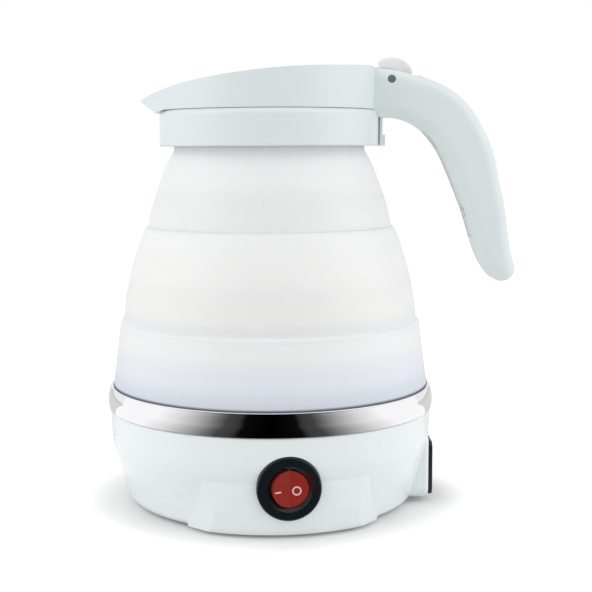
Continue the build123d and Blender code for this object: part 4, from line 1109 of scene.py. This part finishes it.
@dataclass
class Studio:
    """A pale floor, soft light and the camera.

    Attributes:
        distance: The camera's distance in front of the kettle's axis.
        eye_height: Its height.
        pitch: How far it looks down, in degrees.
        roll: Its turn about its own axis, in degrees.
        lens: Its focal length.
        sensor: Width of its sensor.
        shift: Its sideways shift, as a share of the sensor.
        clip: Nearest and farthest distance seen, in metres.
        floor_half: Half the floor's edge, in metres.
        floor_colour: The floor's linear colour.
        floor_roughness: Its roughness.
        painted_shadow_reach: Distances from the axis that the floor's lift for the camera runs
            between; near the kettle the floor keeps a painted shadow.
        painted_shadow_lift: That lift at the two distances, small near the kettle for the painted
            shadow.
        room_light: Strength of the room's light, and of the room seen by the camera or in gloss.
        surround_rings: Radii and heights in metres that the surround runs through.
        surround_turns: Its first direction and the step between two, in degrees.
        surround_count: How many directions it runs through.
        tone_reach: Angle from the front, in degrees, that the tones run to.
        tones: Angles from the front, in degrees, each with a brightness.
        target: The point that the lights look at, in metres.
        softboxes: The soft lights.
    """

    distance: float = 469.75
    eye_height: float = 136.45
    pitch: float = 6.936
    roll: float = -0.241
    lens: float = 73.15
    sensor: float = 36.0
    shift: float = 0.04421
    clip: Span = (0.05, 30.0)
    floor_half: float = 6.0
    floor_colour: Colour = (0.86, 0.86, 0.86)
    floor_roughness: float = 0.9
    painted_shadow_reach: Span = (56.0, 88.0)
    painted_shadow_lift: Span = (0.06, 0.5)
    room_light: Span = (0.74, 1.0)
    surround_rings: tuple[Point2, ...] = ((0.9, 0.9), (0.9, 0.002), (0.068, 0.002))
    surround_turns: tuple[int, int] = (-120, 5)
    surround_count: int = 49
    tone_reach: float = 100.0
    tones: tuple[tuple[float, float], ...] = (
        (0, 0.0), (17, 0.004), (21, 0.05), (29, 0.07),
        (36, 0.2), (46, 0.45), (62, 0.85), (80, 1.15),
    )
    target: Place = (0.0, 0.0, 0.08)
    softboxes: tuple[Softbox, ...] = (
        Softbox("key", (-1.1, -0.45, 0.8), 1.2, 4.5),
        Softbox("fill", (1.1, -0.35, 0.7), 1.2, 4.0),
    )

    def floor(self) -> None:
        """Lay a pale floor, lifted towards white for the camera away from the kettle, which leaves
        a painted shadow round the kettle.
        """
        shape = bmesh.new()
        bmesh.ops.create_grid(shape, x_segments=2, y_segments=2, size=self.floor_half)
        mesh = close_shape(shape, "floor")
        material, tree, surface = node_material(
            "floor",
            {
                "Base Color": rgba(self.floor_colour),
                "Roughness": self.floor_roughness,
                "Specular IOR Level": 0.0,
                "Emission Color": rgba(WHITE),
            },
        )
        # Painted shadow: near the kettle the camera's lift is smaller, so the floor looks darker
        # there.
        near, far = self.painted_shadow_reach
        away = vector_node(tree, "LENGTH", object_place(tree))
        level = map_node(tree, away, (near * MM, far * MM), self.painted_shadow_lift, smooth=True)
        seen = add_node(tree, "ShaderNodeLightPath").outputs["Is Camera Ray"]
        fill_inputs(tree, surface, {"Emission Strength": math_node(tree, "MULTIPLY", seen, level)})
        mesh_object("floor", mesh, material)

    def surround_tones(self) -> Material:
        """Build the surround's material, whose brightness follows the angle from the front.

        Returns:
            The material.
        """
        material, tree, surface = node_material(
            "surround",
            {
                "Base Color": rgba((0.0, 0.0, 0.0)),
                "Specular IOR Level": 0.0,
                "Emission Strength": 1.0,
            },
        )
        split = split_node(tree, object_place(tree))
        ahead = math_node(tree, "MULTIPLY", split["Y"], -1.0)
        aside = math_node(tree, "ABSOLUTE", math_node(tree, "ARCTAN2", split["X"], ahead))
        share = map_node(tree, aside, (0.0, math.radians(self.tone_reach)))
        stops = [(degrees / self.tone_reach, (tone, tone, tone)) for degrees, tone in self.tones]
        fill_inputs(tree, surface, {"Emission Color": ramp_node(tree, share, stops, "LINEAR")})
        return material

    def surround(self) -> None:
        """Put a toned surround in front of the kettle, seen only in polished surfaces."""
        shape = bmesh.new()
        first, between = self.surround_turns
        columns = []
        for step in range(self.surround_count):
            turn = math.radians(first + between * step)
            columns.append(
                [
                    shape.verts.new((r * math.sin(turn), -r * math.cos(turn), z))
                    for r, z in self.surround_rings
                ]
            )
        for here, there in zip(columns, columns[1:]):
            for i in range(len(here) - 1):
                shape.faces.new((here[i], there[i], there[i + 1], here[i + 1]))
        card = mesh_object("surround", close_shape(shape, "surround"), self.surround_tones())
        card.visible_camera = False
        card.visible_diffuse = False
        card.visible_shadow = False
        card.visible_transmission = False

    def world(self) -> None:
        """Fill the room with even white light."""
        world = bpy.data.worlds.new("studio")
        bpy.context.scene.world = world
        world.use_nodes = True
        tree = world.node_tree
        path = add_node(tree, "ShaderNodeLightPath").outputs
        either = math_node(tree, "MAXIMUM", path["Is Camera Ray"], path["Is Glossy Ray"])
        level = map_node(tree, either, (0.0, 1.0), self.room_light)
        fill_inputs(tree, tree.nodes["Background"], {"Color": rgba(WHITE), "Strength": level})

    def camera(self) -> None:
        """Set the camera where the photograph was taken from."""
        lens = bpy.data.cameras.new("camera")
        lens.lens = self.lens
        lens.sensor_width = self.sensor
        lens.shift_x = self.shift
        lens.clip_start, lens.clip_end = self.clip
        eye = put("camera", lens)
        eye.location = (0, -self.distance * MM, self.eye_height * MM)
        turned = Matrix.Rotation(math.radians(90 - self.pitch), 4, "X")
        eye.rotation_euler = (turned @ Matrix.Rotation(math.radians(self.roll), 4, "Z")).to_euler()
        bpy.context.scene.camera = eye

    def build(self) -> None:
        """Build the studio."""
        self.floor()
        self.world()
        self.surround()
        for softbox in self.softboxes:
            softbox.build(self.target)
        self.camera()
        bpy.context.scene.view_settings.view_transform = "Standard"
        LOG.info("studio built")


SHELL = Finish(
    "white_shell", (0.90, 0.955, 0.95), 0.28, coat=0.15, grain_height=0.0012, variation=0.015
)
COLLAR = Finish(
    "white_collar", (0.80, 0.86, 0.865), 0.3, coat=0.1, grain_height=0.0012, variation=0.015
)
# Painted shade: the lid and handle have a darker copy of the shell's white plastic.
SHADED_GRIP = Finish("white_grip", (0.785, 0.855, 0.865), 0.34, grain_height=0.002, variation=0.02)
LINER = Finish("white_liner", (0.80, 0.81, 0.80), 0.5, grain_height=0.012)
SILICONE = TintAndShadeBandFinish(
    "white_silicone", (0.84, 0.85, 0.82), 0.46, specular=0.4, subsurface=0.3, scatter=4.0,
    grain_height=0.004, variation=0.012, wear=0.0,
    stops=(
        # Painted shade: a dark line where the silicone meets the steel ring.
        (46.3, (0.16, 0.18, 0.24)),
        # Darker and bluer low down.
        (47.0, (0.71, 0.75, 0.83)),
        (56.0, (0.84, 0.87, 0.93)),
        (67.5, (0.95, 0.96, 0.96)),
        (70.5, (0.91, 0.92, 0.94)),
        (72.6, (0.92, 0.93, 0.94)),
        # Painted light: the middle band brightened.
        (77.5, (1.0, 1.0, 0.97)),
        (96.0, (0.97, 0.97, 0.95)),
        (108.0, (0.97, 0.98, 0.97)),
        # Painted shade: darker towards the collar at the top.
        (124.0, (0.94, 0.95, 0.94)),
        (138.0, (0.92, 0.93, 0.94)),
    ),
)
RING = TurnedFinish(
    "polished_ring", (0.80, 0.80, 0.81), 0.06, metallic=1.0, grain_height=0.0008, lines=6000.0,
    wear=0.05, dust=0.0,
)
PAN = TurnedFinish(
    "drawn_pan", (0.66, 0.66, 0.66), 0.3, metallic=1.0, grain_height=0.003, wear=0.1, dust=0.0
)
STEEL = Finish(
    "plain_steel", (0.36, 0.37, 0.38), 0.3, metallic=1.0, worn=(0.6, 0.6, 0.6), grain_height=0.003
)
PIN = Finish(
    "dark_pin", (0.19, 0.24, 0.28), 0.4, metallic=0.3, worn=(0.3, 0.32, 0.35), grain_height=0.003
)
LACQUERED = Finish("lacquered_screw", (0.72, 0.78, 0.79), 0.4, grain_height=0.003)
ALUMINIUM = Finish(
    "bare_aluminium", (0.7, 0.7, 0.71), 0.42, metallic=1.0, worn=(0.85, 0.85, 0.85),
    grain_height=0.01,
)
BRASS = Finish(
    "plated_brass", (0.68, 0.62, 0.5), 0.28, metallic=1.0, worn=(0.7, 0.52, 0.25),
    grain_height=0.002,
)
BLACK = Finish(
    "black_plastic", (0.006, 0.010, 0.014), 0.42, worn=(0.05, 0.05, 0.05), grain_height=0.015
)
# Painted light: dark red painted on the bezel's well beside the rocker, in place of the red light
# that the rocker throws there.
BEZEL = PaintedLightFinish(
    "black_bezel", (0.005, 0.011, 0.018), 0.33, worn=(0.03, 0.04, 0.05), grain_height=0.008,
    painted_light=(0.055, 0.003, 0.0025), centre=(11.4, -60.2, 21.3), reach=5.6, dust=0.02,
)
ROCKER = Finish(
    "red_rocker", (0.34, 0.026, 0.018), 0.2, worn=(0.5, 0.06, 0.05), coat=0.4, subsurface=0.25,
    scatter=1.5, fine_scale=1500.0, grain_height=0.06, variation=0.12, dust=0.03,
)
CLEAR = Finish(
    "clear_lever", (0.99, 1.0, 1.0), 0.25, transmission=0.04, coat=0.3, grain_height=0.003,
    subsurface=0.3, scatter=3.0, wear=0.1,
)
RUBBER = Finish(
    "grey_rubber", (0.25, 0.26, 0.27), 0.75, worn=(0.3, 0.3, 0.3), grain_height=0.03, variation=0.08
)
SEAL = Finish("clear_seal", (0.78, 0.79, 0.77), 0.5, subsurface=0.3, grain_height=0.006, wear=0.0)
PRINT = Finish(
    "pale_print", (0.82, 0.55, 0.52), 0.5, worn=(0.7, 0.4, 0.38), grain_height=0.002, dust=0.0
)


def frame_finishes() -> dict[str, Material]:
    """Pair each piece that keeps its own form with its finish.

    Returns:
        Materials by piece name.
    """
    groups: dict[Finish, tuple[str, ...]] = {
        SHELL: ("base_shell",),
        COLLAR: ("collar",),
        SHADED_GRIP: ("handle_frame", "lid"),
        LINER: (
            "base_plate", "pan_carrier", "neck_ring", "handle_liner", "lid_liner", "thermal_fuse",
        ),
        PAN: ("heating_pan",),
        STEEL: ("base_screws", "pan_nuts", "lid_screws"),
        PIN: ("hinge_pin",),
        LACQUERED: ("handle_screws",),
        ALUMINIUM: ("spreader_plate", "heating_element"),
        BRASS: ("switch_terminals", "inlet_pins"),
        BLACK: ("inlet_body", "thermostat"),
        BEZEL: ("switch_housing",),
        ROCKER: ("switch_rocker",),
        CLEAR: ("release_lever",),
        RUBBER: ("foot_ring",),
        SEAL: ("pan_seal", "lid_seal"),
    }
    finishes: dict[str, Material] = {}
    for finish, names in groups.items():
        material = finish.build()
        for name in names:
            finishes[name] = material
    return finishes


def main() -> None:
    """Build the kettle's looks in order."""
    logging.basicConfig(level=logging.INFO)
    for old in list(bpy.data.objects):
        bpy.data.objects.remove(old)
    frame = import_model()
    finishes = frame_finishes()
    FramePaint(frame["nodes"], finishes).build()
    SiliconeBody(SILICONE.build()).build()
    SteelRing(RING.build()).build()
    FootTread(finishes["foot_ring"]).build()
    SwitchMarks(PRINT.build()).build()
    Studio().build()


if __name__ == "__main__":
    main()
